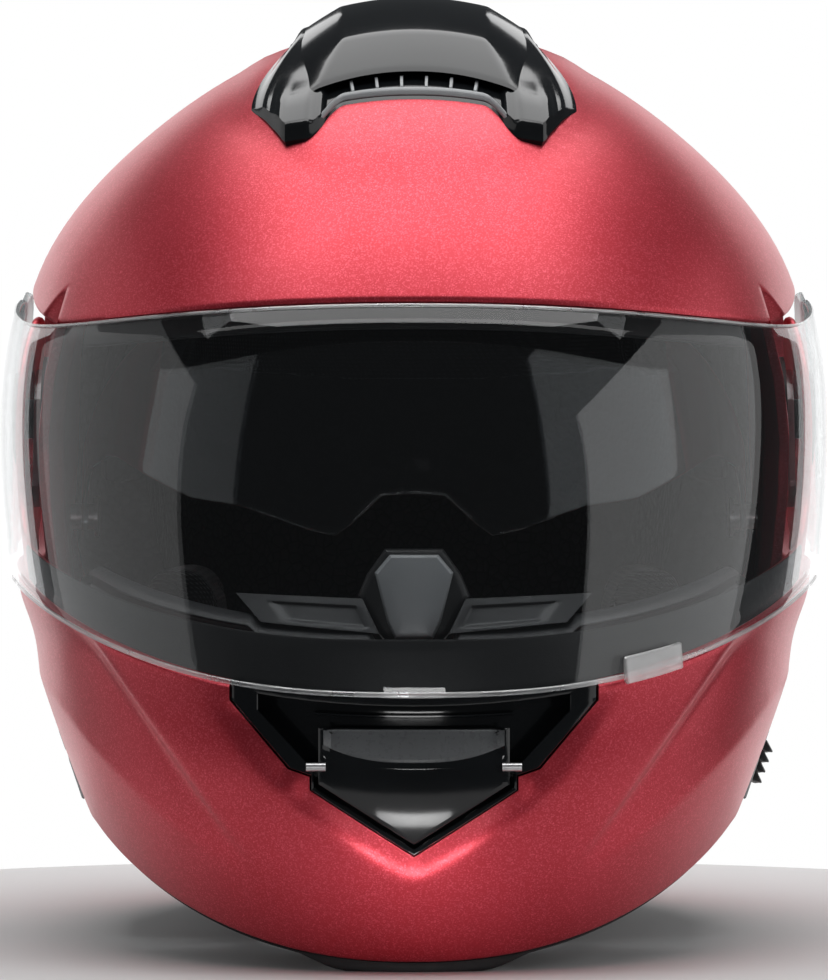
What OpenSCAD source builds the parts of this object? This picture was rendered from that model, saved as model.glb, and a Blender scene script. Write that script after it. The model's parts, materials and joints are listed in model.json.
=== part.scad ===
// Flip-up motorcycle helmet: shell, chin bar, face shield, sun visor, vents, padding and strap.
// +Z is up, the front faces -Y, +X is the wearer's left. The helmet rests on the plane z = 0.

/* [Shell] */
// Height of the centre that the skin is measured from
centre_z = 150; // [148:0.5:152]
// Thickness of the outer shell
shell_t = 3.5; // [3:0.1:4]
// Depth of the recess that takes the chin bar arms
pocket_depth = 11.5; // [11:0.1:12]
// Radius of the round end of the recess
pocket_r = 44; // [43:0.5:45]

/* [Hinge] */
// Hinge axis, behind the centre plane
hinge_y = 6; // [5:0.5:7]
// Hinge axis, above the resting plane
hinge_z = 155; // [154:0.5:156]
// Radius of the hinge boss
boss_r = 6; // [5.5:0.5:6.5]
// Radial clearance of running fits
running_gap = 0.06; // [0.04:0.01:0.08]

/* [Shield] */
// Thickness of the face shield
shield_t = 2.2; // [2:0.1:2.4]
// Height of the shield's inner face over the skin
shield_gap = 0.6; // [0.5:0.1:0.8]
// Radius of the shield's round ends
shield_end_r = 37.5; // [36:0.5:38]

/* [Chin bar] */
// Thickness of the chin bar
chin_t = 2.6; // [2.4:0.1:2.8]
// Half width of the chin vent frame at its top
vent_half_w = 50; // [48:1:52]
// Height of the chin vent door's pins
door_pin_z = 58; // [57:0.5:59]

/* [Sun visor] */
// Largest radius of the sun visor about its axis
visor_r = 148.5; // [147:0.5:149]
// Half width of the sun visor at its axis
visor_half_w = 101; // [100:0.5:101.5]
// Thickness of the sun visor
visor_t = 2; // [1.6:0.2:2.2]
// Sun visor axis, behind the centre plane
visor_y = 10; // [9.5:0.5:10.5]
// Sun visor axis, above the resting plane
visor_z = 125; // [124.5:0.5:125.5]

/* [Hidden] */

// Skin radius about the centre: front midline, crown and rear midline, one value every 15 degrees
// from 75 degrees below the front. Uniform cubic B-spline control values.
MIDLINE = [
  231.5, 211.5, 206, 193.5, 168.5, 155, 141.5, 135, 131, 128, 126, 124.5,
  126, 131.5, 140.5, 150, 159.5, 166, 172.5, 180, 193.5, 213, 226
];
// The same for the sides, from 75 degrees below to the crown.
FLANK = [200, 169.5, 141.5, 131.5, 124, 122, 124.5, 123.5, 120.5, 121, 123, 125.5];
// Edges as elevation angles, one every 15 degrees of bearing from the front to the side.
BROW = [14.6, 14.1, 13.3, 13, 14.2, 18.6, 23.3];
SHIELD_TOP = [14, 13.5, 12.7, 12.4, 13.4, 16.8, 20.2];
SHIELD_BOTTOM = [-23.3, -23.1, -21.6, -19.9, -18.6, -17.4, -16];
profile_step = 15;
low_edge = -46;
side_low_edge = -48.5;
port_side = 52;
rear_seam_low = 84;
skin_half_w = 122.5;
inner_gap = 0.4;
cavity_depth = 38;
chin_flange_depth = 2.6;
chin_arm_r = 32;
seam_gap = 3.8;

function mirrored(v, i) = v[i < 0 ? -i : i > len(v) - 1 ? 2 * (len(v) - 1) - i : i];
function spline(v, start, x) =
  let (t = min(max((x - start) / profile_step, 0), len(v) - 1.001), i = floor(t), f = t - i)
  (mirrored(v, i - 1) * pow(1 - f, 3) + mirrored(v, i) * (3 * pow(f, 3) - 6 * f * f + 4)
  + mirrored(v, i + 1) * (-3 * pow(f, 3) + 3 * f * f + 3 * f + 1)
  + mirrored(v, i + 2) * pow(f, 3)) / 6;
function ramp(x) = let (t = min(max(x, 0), 1)) t * t * (3 - 2 * t);

// Radius of the skin at a bearing (0 front, 90 wearer's left) and an elevation.
function skin_r(b, e) =
  let (
    ahead = spline(MIDLINE, -75, cos(b) >= 0 ? e : 180 - e),
    aside = spline(FLANK, -75, e),
    n = 2 + 0.35 * pow(cos(e), 4)
  )
  pow(pow(abs(cos(b)) / ahead, n) + pow(abs(sin(b)) / aside, n), -1 / n);
function skin(b, e, off = 0) =
  let (r = skin_r(b, e) + off)
  [r * sin(b) * cos(e), -r * cos(b) * cos(e), centre_z + r * sin(e)];

// The shell stands back a little where the open chin bar and shield pass over it.
function relief(b, e) =
  let (p = skin(b, e))
  2.8 * exp(-pow((p[1] + 50) / 36, 2) - pow((p[2] - 180) / 17, 2))
  + 1.6 * exp(-pow((p[1] - 54) / 22, 2) - pow((p[2] - 168) / 34, 2));

// Elevation of a circle about the hinge axis, where the bearing line crosses it.
function hinge_circle(b, r, side) =
  let (y = -skin_half_w * cos(b), q = max(r * r - pow(y - hinge_y, 2), 0))
  asin((hinge_z - centre_z + side * sqrt(q)) / skin_half_w);
function brow_edge(b) = abs(b) < 91 ? spline(BROW, 0, abs(b)) : hinge_circle(abs(b), pocket_r, 1);
function shield_low(b) = spline(SHIELD_BOTTOM, 0, abs(b));
function rear_seam(b) =
  min(low_edge + (abs(b) - rear_seam_low) * 2, hinge_circle(abs(b), pocket_r, -1));
function shell_low(b) = low_edge + (side_low_edge - low_edge) * ramp((abs(b) - 55) / 25);

// A closed solid between two skins. Each column holds its outer points, then its inner points,
// from the bottom to the top. With a crown, both skins close in one point at the top.
module skin_solid(columns, ring = false, crown = []) {
  n = len(columns);
  m = len(columns[0]) / 2;
  top = n * 2 * m;
  last = ring ? n - 1 : n - 2;
  points = concat([for (c = columns) for (p = c) p], crown);
  walls = [
    for (i = [0:last]) let (a = i * 2 * m, b = ((i + 1) % n) * 2 * m)
      for (k = [0:m - 2]) each [
        [a + k, a + k + 1, b + k + 1],
        [a + k, b + k + 1, b + k],
        [a + m + k, b + m + k + 1, a + m + k + 1],
        [a + m + k, b + m + k, b + m + k + 1]
      ]
  ];
  rims = [
    for (i = [0:last]) let (a = i * 2 * m, b = ((i + 1) % n) * 2 * m) each concat(
      [[a, b, b + m], [a, b + m, a + m]],
      len(crown) > 0
        ? [[a + m - 1, top, b + m - 1], [a + 2 * m - 1, b + 2 * m - 1, top + 1]]
        : [[b + m - 1, a + m - 1, a + 2 * m - 1], [b + m - 1, a + 2 * m - 1, b + 2 * m - 1]]
    )
  ];
  e = (n - 1) * 2 * m;
  ends = ring ? [] : [
    for (k = [0:m - 2]) each [
      [k + 1, k, m + k],
      [k + 1, m + k, m + k + 1],
      [e + k, e + k + 1, e + m + k + 1],
      [e + k, e + m + k + 1, e + m + k]
    ]
  ];
  polyhedron(points, concat(walls, rims, ends), convexity = 8);
}

// A column of a skin solid from rows of [elevation, outer offset, inner offset].
function column(b, rows) = concat(
  [for (r = rows) skin(b, r[0], r[1])],
  [for (r = rows) skin(b, r[0], r[2])]
);
function steps(low, high, count) = [for (k = [0:count - 1]) low + (high - low) * k / (count - 1)];
function crown_points(outer, inner) = [skin(0, 90, outer), skin(0, 90, inner)];
// A patch of even thickness between two edges, over a list of bearings.
module skin_patch(bearings, low, high, rows, outer, inner) {
  skin_solid([
    for (b = bearings) column(b, [for (e = steps(low(b), high(b), rows)) [e, outer, inner]])
  ]);
}
function even(from, to, count) = steps(from, to, count);
module both_sides() {
  children();
  mirror([1, 0, 0])
    children();
}
module right_side() {
  mirror([1, 0, 0])
    children();
}
// Lays a cylinder along X between two stations, at a place in the side view.
module x_rod(y, z, from_x, to_x, r, fn = 64) {
  translate([from_x, y, z])
    rotate([0, 90, 0])
      cylinder(h = to_x - from_x, r = r, $fn = fn);
}
// Extrudes a side-view outline, drawn as [y, z], along X.
module x_slab(from_x, to_x) {
  translate([from_x, 0, 0])
    rotate([90, 0, 90])
      linear_extrude(to_x - from_x)
        children();
}
// Extrudes a front-view outline, drawn as [x, z], along Y.
module y_slab(from_y, to_y) {
  translate([0, to_y, 0])
    rotate([90, 0, 0])
      linear_extrude(to_y - from_y)
        children();
}

// Outer shell -------------------------------------------------------------------------------
shell_bearings = [
  0, 8, 16, 24, 32, 40, 46, 52, 60, 67, 74, 80, 84, 88, 92, 97, 102, 107, 110.5, 116, 124, 133,
  142, 152, 161, 171
];
all_round = concat(
  shell_bearings, [180],
  [for (i = [len(shell_bearings) - 1:-1:1]) -shell_bearings[i]]
);
function shell_low_rows(b) =
  let (t = abs(b), a = brow_edge(b), low = shell_low(b), s = rear_seam(b))
  t <= port_side ? [for (k = [0:5]) [a + 0.6 + 0.7 * k, 0]]
  : t < rear_seam_low ? [for (e = steps(low, a - 0.8, 6)) [e, -pocket_depth]]
  : t < 110.6 ? concat(
      [[low - 0.6, 0], [max(s - 1, low + 0.6), 0]],
      [for (e = steps(max(s + 1, low + 2.6), a - 0.8, 4)) [e, -pocket_depth]]
    )
  : [for (e = steps(low, a - 0.8, 6)) [e, 0]];
function shell_high_rows(b) =
  let (a = brow_edge(b) + (abs(b) <= port_side ? 5.2 : 0.8))
  [for (e = steps(a, 84, 9)) [e, 0]];
module outer_shell() {
  color("crimson")
    skin_solid(
      [
        for (b = all_round) column(b, [
          for (r = concat(shell_low_rows(b), shell_high_rows(b)))
            let (d = r[1] - (r[1] < 0 ? 0 : relief(b, r[0])))
            [r[0], d, d - shell_t]
        ])
      ],
      true, crown_points(0, -shell_t)
    );
}

module brow_gasket() {
  low = function (b) brow_edge(b) - 2.6;
  high = function (b) brow_edge(b) + 4;
  color("black")
    skin_patch(even(-48, 48, 17), low, high, 3, -shell_t - 3.4, -shell_t - 6.4);
}

// The trims follow the lower edge and stand on the resting plane at the front and the rear.
function trim_foot(p, from_middle, flat) =
  p[2] - 2.4 - max(p[2] - 2.4, 0) * (1 - ramp((from_middle - flat) / 12));
module edge_trim(bearings, low, flat, inner) {
  color("dimgray")
    skin_solid([
      for (b = bearings)
        let (
          t = min(abs(b), abs(180 - b)),
          p = skin(b, low(b) - 0.15, -0.4),
          q = skin(b, low(b) - 0.15, inner),
          z = min(trim_foot(p, t, flat), q[2] - 1.2)
        )
        [[p[0], p[1], max(z, 0)], p, [q[0], q[1], max(z, 0)], q]
    ]);
}
module neck_trim() {
  low = function (b) shell_low(min(b, 360 - b)) - (abs(180 - b) > 69 ? 0.6 : 0);
  edge_trim(even(90, 270, 37), low, 25, -shell_t - 2.5);
}

// Liners and padding ------------------------------------------------------------------------
function liner_low(b) =
  let (t = abs(b))
  t < 52 ? 19.5 : 19.5 - 27.5 * ramp((t - 52) / 8) - 20 * ramp((t - 112) / 20);
function liner_out(b, e) =
  let (
    t = abs(b),
    front = ramp((96 - t) / 12) * ramp((74 - e) / 8),
    flank = ramp((122 - t) / 8) * ramp((34 - e) / 6)
  )
  -7.4 - max(20 * front, 21 * flank);
module impact_liner() {
  color("gainsboro")
    skin_solid(
      [
        for (b = all_round) column(b, [
          for (e = concat(steps(liner_low(b), 27, 5), [36, 48, 60, 68, 78]))
            [e, liner_out(b, e), -cavity_depth]
        ])
      ],
      true, crown_points(-7.4, -cavity_depth)
    );
}
module crown_pad() {
  color("dimgray")
    skin_solid(
      [
        for (b = even(0, 345, 24)) let (t = min(b, 360 - b))
          column(b, [
            for (e = steps(22 - 14 * ramp((t - 40) / 25), 80, 6))
              [e, -cavity_depth - 1.6, -cavity_depth - 9]
          ])
      ],
      true, crown_points(-cavity_depth - 1.6, -cavity_depth - 9)
    );
}
module neck_roll() {
  low = function (b) -44;
  high = function (b) -33;
  color("dimgray")
    skin_patch(even(122, 238, 17), low, high, 4, -shell_t - 3, -shell_t - 20);
}
module cheek_block() {
  low = function (b) -40;
  high = function (b) -23;
  color("gainsboro")
    skin_patch([67, 74, 80, 84, 88, 92, 97], low, high, 4, -pocket_depth - shell_t - 3.5, -27);
}
module pad_outline(grow) {
  hull()
    for (p = [[-70, 58], [-62, 104], [14, 104], [14, 58]])
      translate([p[0], p[1]])
        circle(r = 8 + grow, $fn = 20);
}
module cheek_pad() {
  color("dimgray")
    hull() {
      x_slab(58, 59)
        pad_outline(-5);
      x_slab(64, 75)
        pad_outline(0);
      x_slab(78, 79)
        translate([0, 8])
          pad_outline(-8);
    }
}

// Vents on the shell ------------------------------------------------------------------------
// The base is a saddle on the crown. Its plan outline is given by its front and rear edges, and
// its two wings reach forward on both sides of the intake.
function base_half_w(v) = 47 - 10 * ramp(v / 0.45) - 8 * ramp((v - 0.5) / 0.5);
function base_front(u) = -92 - 9.7 * ramp((abs(u) - 0.5) / 0.2) + 72 * max(abs(u) - 0.7, 0);
function base_rear(u) = 52 - 22 * pow(abs(u), 2);
function base_lift(u, v) =
  2.6 * ramp(v / 0.09) * ramp((1 - v) / 0.25) * (1 - 0.6 * ramp((abs(u) - 0.8) / 0.2)) + 0.7;
function on_skin(x, y, off) =
  let (
    b = atan2(x, -y),
    d = norm([x, y]),
    e0 = atan2(sqrt(max(pow(128, 2) - d * d, 100)), d),
    e1 = acos(min(d / (skin_r(b, e0) + off), 0.999)),
    e2 = acos(min(d / (skin_r(b, e1) + off), 0.999)),
    e3 = acos(min(d / (skin_r(b, e2) + off), 0.999)),
    e4 = acos(min(d / (skin_r(b, e3) + off), 0.999))
  )
  skin(b, (e3 + e4) / 2, off);
module top_vent_base() {
  color("black")
    skin_solid([
      for (u = even(-1, 1, 21)) let (f = base_front(u), g = base_rear(u))
        let (wide = function (v) u * base_half_w(v))
        concat(
          [for (v = steps(0, 1, 12)) on_skin(wide(v), f + (g - f) * v, base_lift(u, v))],
          [for (v = steps(0, 1, 12)) on_skin(wide(v), f + (g - f) * v, 0.3)]
        )
    ]);
}
slider_rear = 6;
slider_base = 3.9;
function slider_front(u) = -84 - 3 * u * u;
function slider_half_w(v) = 30 + 3 * ramp(v / 0.3) - 6 * ramp((v - 0.6) / 0.4);
function slider_lift(u, v) =
  let (edge = 1 - 0.8 * ramp((abs(u) - 0.6) / 0.4))
  slider_base + 1 + 2.1 * ramp(v / 0.25) * (1 - 0.6 * ramp((v - 0.7) / 0.3)) * edge;
module top_vent_slider() {
  color("black")
    skin_solid([
      for (u = even(-1, 1, 11))
        let (y = function (v) slider_front(u) + (slider_rear - slider_front(u)) * v)
        concat(
          [for (v = steps(0, 1, 11)) on_skin(u * slider_half_w(v), y(v), slider_lift(u, v))],
          [for (v = steps(0, 1, 11)) on_skin(u * slider_half_w(v), y(v), slider_base)]
        )
    ]);
}
module rear_vent() {
  low = function (b) 30 + 3 * pow(abs(b - 180) / 24, 2);
  high = function (b) 42 - 4 * pow(abs(b - 180) / 24, 2);
  color("black")
    skin_patch(even(156, 204, 11), low, high, 4, 3.2, 0.3);
}

// Hinges ------------------------------------------------------------------------------------
plate_x = 111.9;
arm_x = 113.4;
arm_plate_t = 1.9;
boss_end_x = 122.4;
module pivot_plate() {
  color("black")
    difference() {
      union() {
        x_rod(hinge_y, hinge_z, plate_x, arm_x - 0.4, 19);
        x_rod(hinge_y, hinge_z, plate_x, boss_end_x, boss_r);
      }
      x_rod(hinge_y, hinge_z, plate_x + 1.5, boss_end_x + 1, 2.1);
      x_rod(hinge_y, hinge_z, boss_end_x - 1.6, boss_end_x + 1, 4);
    }
}
module pivot_screw() {
  color("silver")
    difference() {
      union() {
        x_rod(hinge_y, hinge_z, plate_x + 2, boss_end_x - 0.2, 2.04);
        x_rod(hinge_y, hinge_z, boss_end_x - 1.5, boss_end_x - 0.2, 3.9);
      }
      x_rod(hinge_y, hinge_z, boss_end_x - 1.2, boss_end_x, 1.4, 6);
    }
}
module hinge_arm() {
  color("silver")
    difference() {
      x_slab(arm_x, arm_x + arm_plate_t)
        hull() {
          translate([hinge_y, hinge_z])
            circle(r = 15, $fn = 32);
          translate([hinge_y - 12, hinge_z - 19])
            circle(r = 8, $fn = 32);
        }
      x_rod(hinge_y, hinge_z, arm_x - 1, arm_x + arm_plate_t + 1, boss_r + running_gap);
    }
}
rivet_places = [[-8, 134], [-3, 141]];
module hinge_rivets() {
  color("gray")
    both_sides()
      for (p = rivet_places)
        x_rod(p[0], p[1], arm_x + arm_plate_t, arm_x + arm_plate_t + 0.5, 2.5, 32);
}

// Sun visor ---------------------------------------------------------------------------------
visor_n = 2.35;
visor_low = -1.5;
visor_high = 29.5;
function visor_at(x, w, r) = r * pow(max(1 - pow(abs(x) / w, visor_n), 0), 1 / visor_n);
function visor_profile(w, r) = [for (a = [-90:7.5:90]) let (x = w * sin(a)) [visor_at(x, w, r), x]];
function visor_arc(r, from, to, count) = [
  for (a = steps(from, to, count)) [visor_y - r * cos(a), visor_z + r * sin(a)]
];
// The skin of revolution ahead of the axis, from 35 degrees below it to 55 degrees above it.
module visor_skin() {
  inner = visor_profile(visor_half_w - visor_t, visor_r - visor_t);
  translate([0, visor_y, visor_z])
    rotate([0, 90, 0])
      rotate([0, 0, 270 - 55])
        rotate_extrude(angle = 90, $fn = 128)
          polygon(concat(
            visor_profile(visor_half_w, visor_r),
            [for (i = [len(inner) - 1:-1:0]) inner[i]]
          ));
}
// Side-view outline: lens edges as [distance ahead of the axis, height over it], then the arm.
visor_lower_edge = [[154, -4], [143, -4], [133, 4], [119, 6], [84, 18], [55, 15], [0, -8]];
module sun_visor() {
  outline = concat(
    [for (p = visor_lower_edge) [visor_y - p[0], visor_z + p[1]]],
    [[visor_y, visor_z + 9], [visor_y - 50, visor_z + 28.3]],
    visor_arc(visor_r + 6, visor_high, visor_low, 6)
  );
  color("darkslategray")
    difference() {
      union() {
        intersection() {
          visor_skin();
          x_slab(-visor_half_w - 1, visor_half_w + 1)
            polygon(outline);
        }
        both_sides()
          x_rod(visor_y, visor_z, visor_half_w - visor_t, visor_half_w, 11);
      }
      both_sides()
        x_rod(visor_y, visor_z, visor_half_w - 4, visor_half_w + 1, 4 + running_gap);
      y_slab(-150, -110)
        polygon([[-21, 116], [-17, 125], [-8, 132.5], [8, 132.5], [17, 125], [21, 116]]);
    }
}
module sun_visor_pivots() {
  color("silver")
    both_sides() {
      x_rod(visor_y, visor_z, visor_half_w - 3, visor_half_w + 4.2, 4);
      x_rod(visor_y, visor_z, visor_half_w - 4.2, visor_half_w - 3, 6);
    }
}

// Sun visor lever and side covers -----------------------------------------------------------
cover_lift = 1.8;
module side_cover() {
  low = function (b) -47.6;
  high = function (b) -39.5 - 2.5 * pow(abs(b - 101) / 12, 2);
  color("dimgray")
    skin_patch(even(90, 112, 9), low, high, 4, cover_lift, 0.3);
}
lever_ribs = 4;
module visor_lever() {
  color("black")
    skin_solid([
      for (b = even(92.5, 101.5, 8 * lever_ribs + 1))
        let (rib = 1.1 * cos(360 * lever_ribs * (b - 92.5) / 9), lift = 5 - rib)
        column(b, [
          [-45.5, lift - 1.2, cover_lift + inner_gap], [-44.4, lift, cover_lift + inner_gap],
          [-41.8, lift, cover_lift + inner_gap], [-40.8, lift - 1.2, cover_lift + inner_gap]
        ])
    ]);
}

// Chin strap --------------------------------------------------------------------------------
strap_w = 22;
strap_t = 1.6;
strap_y = -34;
strap_x = 80.6;
strap_top_z = 70;
strap_low_z = 14;
strap_bend_r = 28;
rivet_z = 63;
// The strap drops inside the shell, turns under the cheek pad and runs level to the buckle.
function strap_line(off, to_x) = concat(
  [[strap_x + off, strap_top_z]],
  [
    for (a = [0:15:90])
      [
        strap_x - strap_bend_r + (strap_bend_r + off) * cos(a),
        strap_low_z + strap_bend_r - (strap_bend_r + off) * sin(a)
      ]
  ],
  [[to_x, strap_low_z - off]]
);
module strap(to_x) {
  outer = strap_line(strap_t, to_x);
  inner = strap_line(0, to_x);
  color("black")
    difference() {
      y_slab(strap_y - strap_w / 2, strap_y + strap_w / 2)
        polygon(concat(outer, [for (i = [len(inner) - 1:-1:0]) inner[i]]));
      x_rod(strap_y, rivet_z, strap_x - 2, strap_x + strap_t + 2, 2.55);
    }
}
module strap_rivets() {
  color("silver")
    both_sides() {
      x_rod(strap_y, rivet_z, strap_x, strap_x + 10.4, 2.5);
      x_rod(strap_y, rivet_z, strap_x - 1.2, strap_x, 6);
    }
}
buckle_half_l = 20;
buckle_w = 26;
buckle_pin_x = 12;
buckle_pin_z = 19.6;
module buckle_base() {
  color("silver")
    difference() {
      union() {
        translate([-buckle_half_l, strap_y - buckle_w / 2, strap_low_z - 4.4])
          cube([2 * buckle_half_l, buckle_w, 2]);
        for (y = [strap_y - buckle_w / 2, strap_y + buckle_w / 2 - 1.2])
          translate([-buckle_half_l + 4, y, strap_low_z - 4.4])
            cube([2 * buckle_half_l - 6, 1.2, 13]);
        translate([buckle_pin_x, strap_y + buckle_w / 2 - 0.6, buckle_pin_z])
          rotate([90, 0, 0])
            cylinder(h = buckle_w - 1.2, r = 1.5, $fn = 48);
      }
      translate([-buckle_half_l - 1, strap_y - 3, strap_low_z - 5])
        cube([4, 6, 4]);
    }
}
module buckle_lever() {
  color("crimson")
    difference() {
      union() {
        translate([buckle_pin_x, strap_y + buckle_w / 2 - 1.6, buckle_pin_z])
          rotate([90, 0, 0])
            cylinder(h = buckle_w - 3.2, r = 2.6, $fn = 48);
        translate([-buckle_half_l + 1, strap_y - buckle_w / 2 + 1.6, buckle_pin_z + 0.4])
          cube([buckle_half_l + buckle_pin_x - 1, buckle_w - 3.2, 2.2]);
      }
      translate([buckle_pin_x, strap_y + buckle_w / 2, buckle_pin_z])
        rotate([90, 0, 0])
          cylinder(h = buckle_w, r = 1.5 + running_gap, $fn = 48);
    }
}
tooth_pitch = 4;
module ratchet_tongue() {
  color("black")
    translate([0, strap_y + 8, 0])
      rotate([90, 0, 0])
        linear_extrude(16)
          polygon(concat(
            [[-40, strap_low_z + 0.3], [8, strap_low_z + 0.3]],
            [for (i = [0:8]) each [
              [8 - tooth_pitch * i, strap_low_z + 1.5],
              [5 - tooth_pitch * i, strap_low_z + 2.4]
            ]],
            [[-40, strap_low_z + 1.5]]
          ));
}

// Chin bar ----------------------------------------------------------------------------------
function arm_top(b) =
  let (t = abs(b))
  t > 93 ? hinge_circle(t, chin_arm_r, 1)
  : t < 66 ? shield_low(t) + 3.5
  : lookup(t, [
      [66, -14.4], [70, -13.4], [74, -10], [78, 0], [82, 9.5], [86, 14.8], [90, 17.1], [93, 17.5]
    ]);
function chin_low(b) =
  let (t = abs(b), seam = low_edge + (t - rear_seam_low) * 2 + seam_gap)
  t < 80 ? shell_low(t)
  : max(shell_low(t), min(seam, hinge_circle(t, pocket_r - seam_gap, -1)));
function flange_low(b) = max(shield_low(b) - 0.5, chin_low(b) + 1.5);
chin_half = [0, 8, 16, 24, 32, 40, 48, 56, 62, 66, 70, 74, 78, 82, 84, 88, 92, 97, 102, 105];
chin_bearings = concat([for (i = [len(chin_half) - 1:-1:1]) -chin_half[i]], chin_half);
// Front-view outline of the vent opening, wider by a margin, and of the door.
function vent_outline(m) = concat(
  [
    [-vent_half_w - m, 76 - m / 2], [-34 - m, 57.5 - m], [-28 - m, 55.5 - m],
    [-28 - m, 51.5 - m / 2], [0, 33.5 - 1.2 * m], [28 + m, 51.5 - m / 2], [28 + m, 55.5 - m],
    [34 + m, 57.5 - m], [vent_half_w + m, 76 - m / 2]
  ],
  [for (u = [1:-0.25:-1]) [(vent_half_w + m) * u, 77 + 4.4 * u * u + m]]
);
function door_outline(m) = [
  [-26 - m, 68.6 + 1.6 * m], [-26 - m, 53 - m / 2], [0, 36.6 - 1.2 * m], [26 + m, 53 - m / 2],
  [26 + m, 68.6 + 1.6 * m]
];
module chin_bar_shell() {
  color("crimson")
    difference() {
      skin_solid([
        for (b = chin_bearings) let (f = flange_low(b))
          column(b, concat(
            [for (e = steps(chin_low(b), f, 7)) [e, 0, -chin_t]],
            [
              for (e = steps(f + 0.8, arm_top(b), 3))
                [e, -chin_flange_depth, -chin_flange_depth - chin_t]
            ]
          ))
      ]);
      both_sides()
        x_rod(hinge_y, hinge_z, plate_x, boss_end_x + 2, 14.6);
      y_slab(-190, -130)
        polygon(vent_outline(0.5));
    }
}
module chin_rim() {
  color("black")
    skin_solid([
      for (b = even(-42, 42, 27)) let (s = shield_low(b), d = -6.4 - 1.6 * ramp((abs(b) - 32) / 8))
        column(b, [[s - 0.2, d, -10], [s + 2.6, d, -12], [s + 4.6, d, -14], [s + 5.6, d - 1.2, -14]])
    ]);
}
module chin_liner() {
  low = function (b) -38;
  high = function (b) -28.5;
  color("gainsboro")
    skin_patch(even(-38, 38, 11), low, high, 4, -14.5, -20.5);
}
deflector_front = -152;
deflector_rear = -143.5;
module breath_deflector() {
  color("black") {
    y_slab(deflector_front + 2, deflector_rear)
      polygon([[-9.5, 91], [-14, 103], [-13, 109], [-8, 117], [8, 117], [13, 109], [14, 103], [9.5, 91]]);
    y_slab(deflector_front, deflector_front + 2)
      polygon([[-5.6, 93.5], [-11.3, 110.5], [-6.7, 115.4], [6.7, 115.4], [11.3, 110.5], [5.6, 93.5]]);
  }
}
module vent_skin(outer, inner) {
  low = function (b) -38;
  high = function (b) -22;
  skin_patch(even(-22, 22, 9), low, high, 7, outer, inner);
}
module chin_vent_frame() {
  color("black")
    difference() {
      intersection() {
        vent_skin(-0.1, -4);
        y_slab(-190, -130)
          polygon(vent_outline(0));
      }
      y_slab(-190, -130)
        polygon(door_outline(0.7));
      x_rod(-165.2, door_pin_z, -29.5, 29.5, 1.25, 32);
    }
}
module chin_vent_mesh() {
  low = function (b) -37;
  high = function (b) -24.6;
  color("dimgray")
    skin_patch(even(-9.5, 9.5, 5), low, high, 4, -8, -9.2);
}
door_pin_r = 1.2;
module chin_vent_door() {
  color("black")
    difference() {
      intersection() {
        vent_skin(1.6, -1.4);
        y_slab(-190, -130)
          polygon(door_outline(0));
      }
      both_sides()
        x_rod(-165.2, door_pin_z, 23.5, 30, door_pin_r + running_gap, 32);
    }
}
module chin_vent_pins() {
  color("silver")
    both_sides()
      x_rod(-165.2, door_pin_z, 24, 29.3, door_pin_r, 32);
}
module chin_trim() {
  low = function (b) shell_low(abs(b));
  edge_trim(even(-80, 80, 41), low, 18, -6.2);
}
module chin_curtain() {
  color("black")
    skin_solid([
      for (b = even(-40, 40, 17))
        let (
          start = -8 - 16 * ramp((11 - abs(b)) / 4),
          line = [skin(b, -45, start), skin(b, -49.5, -26), skin(b, -54, -38)]
        )
        concat(line, [for (p = line) p + [0, 0, 1.5]])
    ]);
}

// Latch -------------------------------------------------------------------------------------
housing_half_w = 15;
module release_housing() {
  color("black")
    difference() {
      x_slab(-housing_half_w, housing_half_w)
        polygon([[-138.4, 7], [-133.9, 3.2], [-126.6, 2.6], [-126.6, 16], [-142.6, 16]]);
      translate([-11.4, -134, 0])
        cube([22.8, 5.8, 13.5]);
    }
}
module release_button() {
  color("crimson")
    difference() {
      translate([-11, -133.6, 1])
        cube([22, 5, 8]);
      for (x = [-8:4:8])
        translate([x - 0.6, -134, 0.5])
          cube([1.2, 6, 1]);
    }
}
striker_y = -38;
striker_z = 71;
striker_r = 2.4;
hook_pin_y = -46.5;
hook_pin_z = 70;
hook_x = 102.2;
hook_t = 1.3;
module latch_strikers() {
  color("silver")
    both_sides()
      x_rod(striker_y, striker_z, 99.4, 103.2, striker_r);
}
// The hook reaches over the striker, and its lip comes down behind it.
module latch_hook() {
  color("silver")
    difference() {
      x_slab(hook_x, hook_x + hook_t)
        polygon([
          [-50, 67], [-46, 65.8], [-42.5, 67.5], [-41.2, 69], [-41.2, 73], [-39.8, 74.4],
          [-36, 74.4], [-34.9, 73.2], [-33.6, 73.2], [-33.4, 75.2], [-35, 77], [-42, 77],
          [-48, 74.5], [-50, 73]
        ]);
      x_rod(hook_pin_y, hook_pin_z, hook_x - 1, hook_x + 3, 2 + running_gap);
    }
}
module latch_pins() {
  color("silver")
    both_sides() {
      x_rod(hook_pin_y, hook_pin_z, hook_x - 0.8, hook_x + hook_t + 0.6, 2, 48);
      x_rod(hook_pin_y, hook_pin_z, hook_x - 1.6, hook_x - 0.4, 3.2, 48);
    }
}

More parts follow.
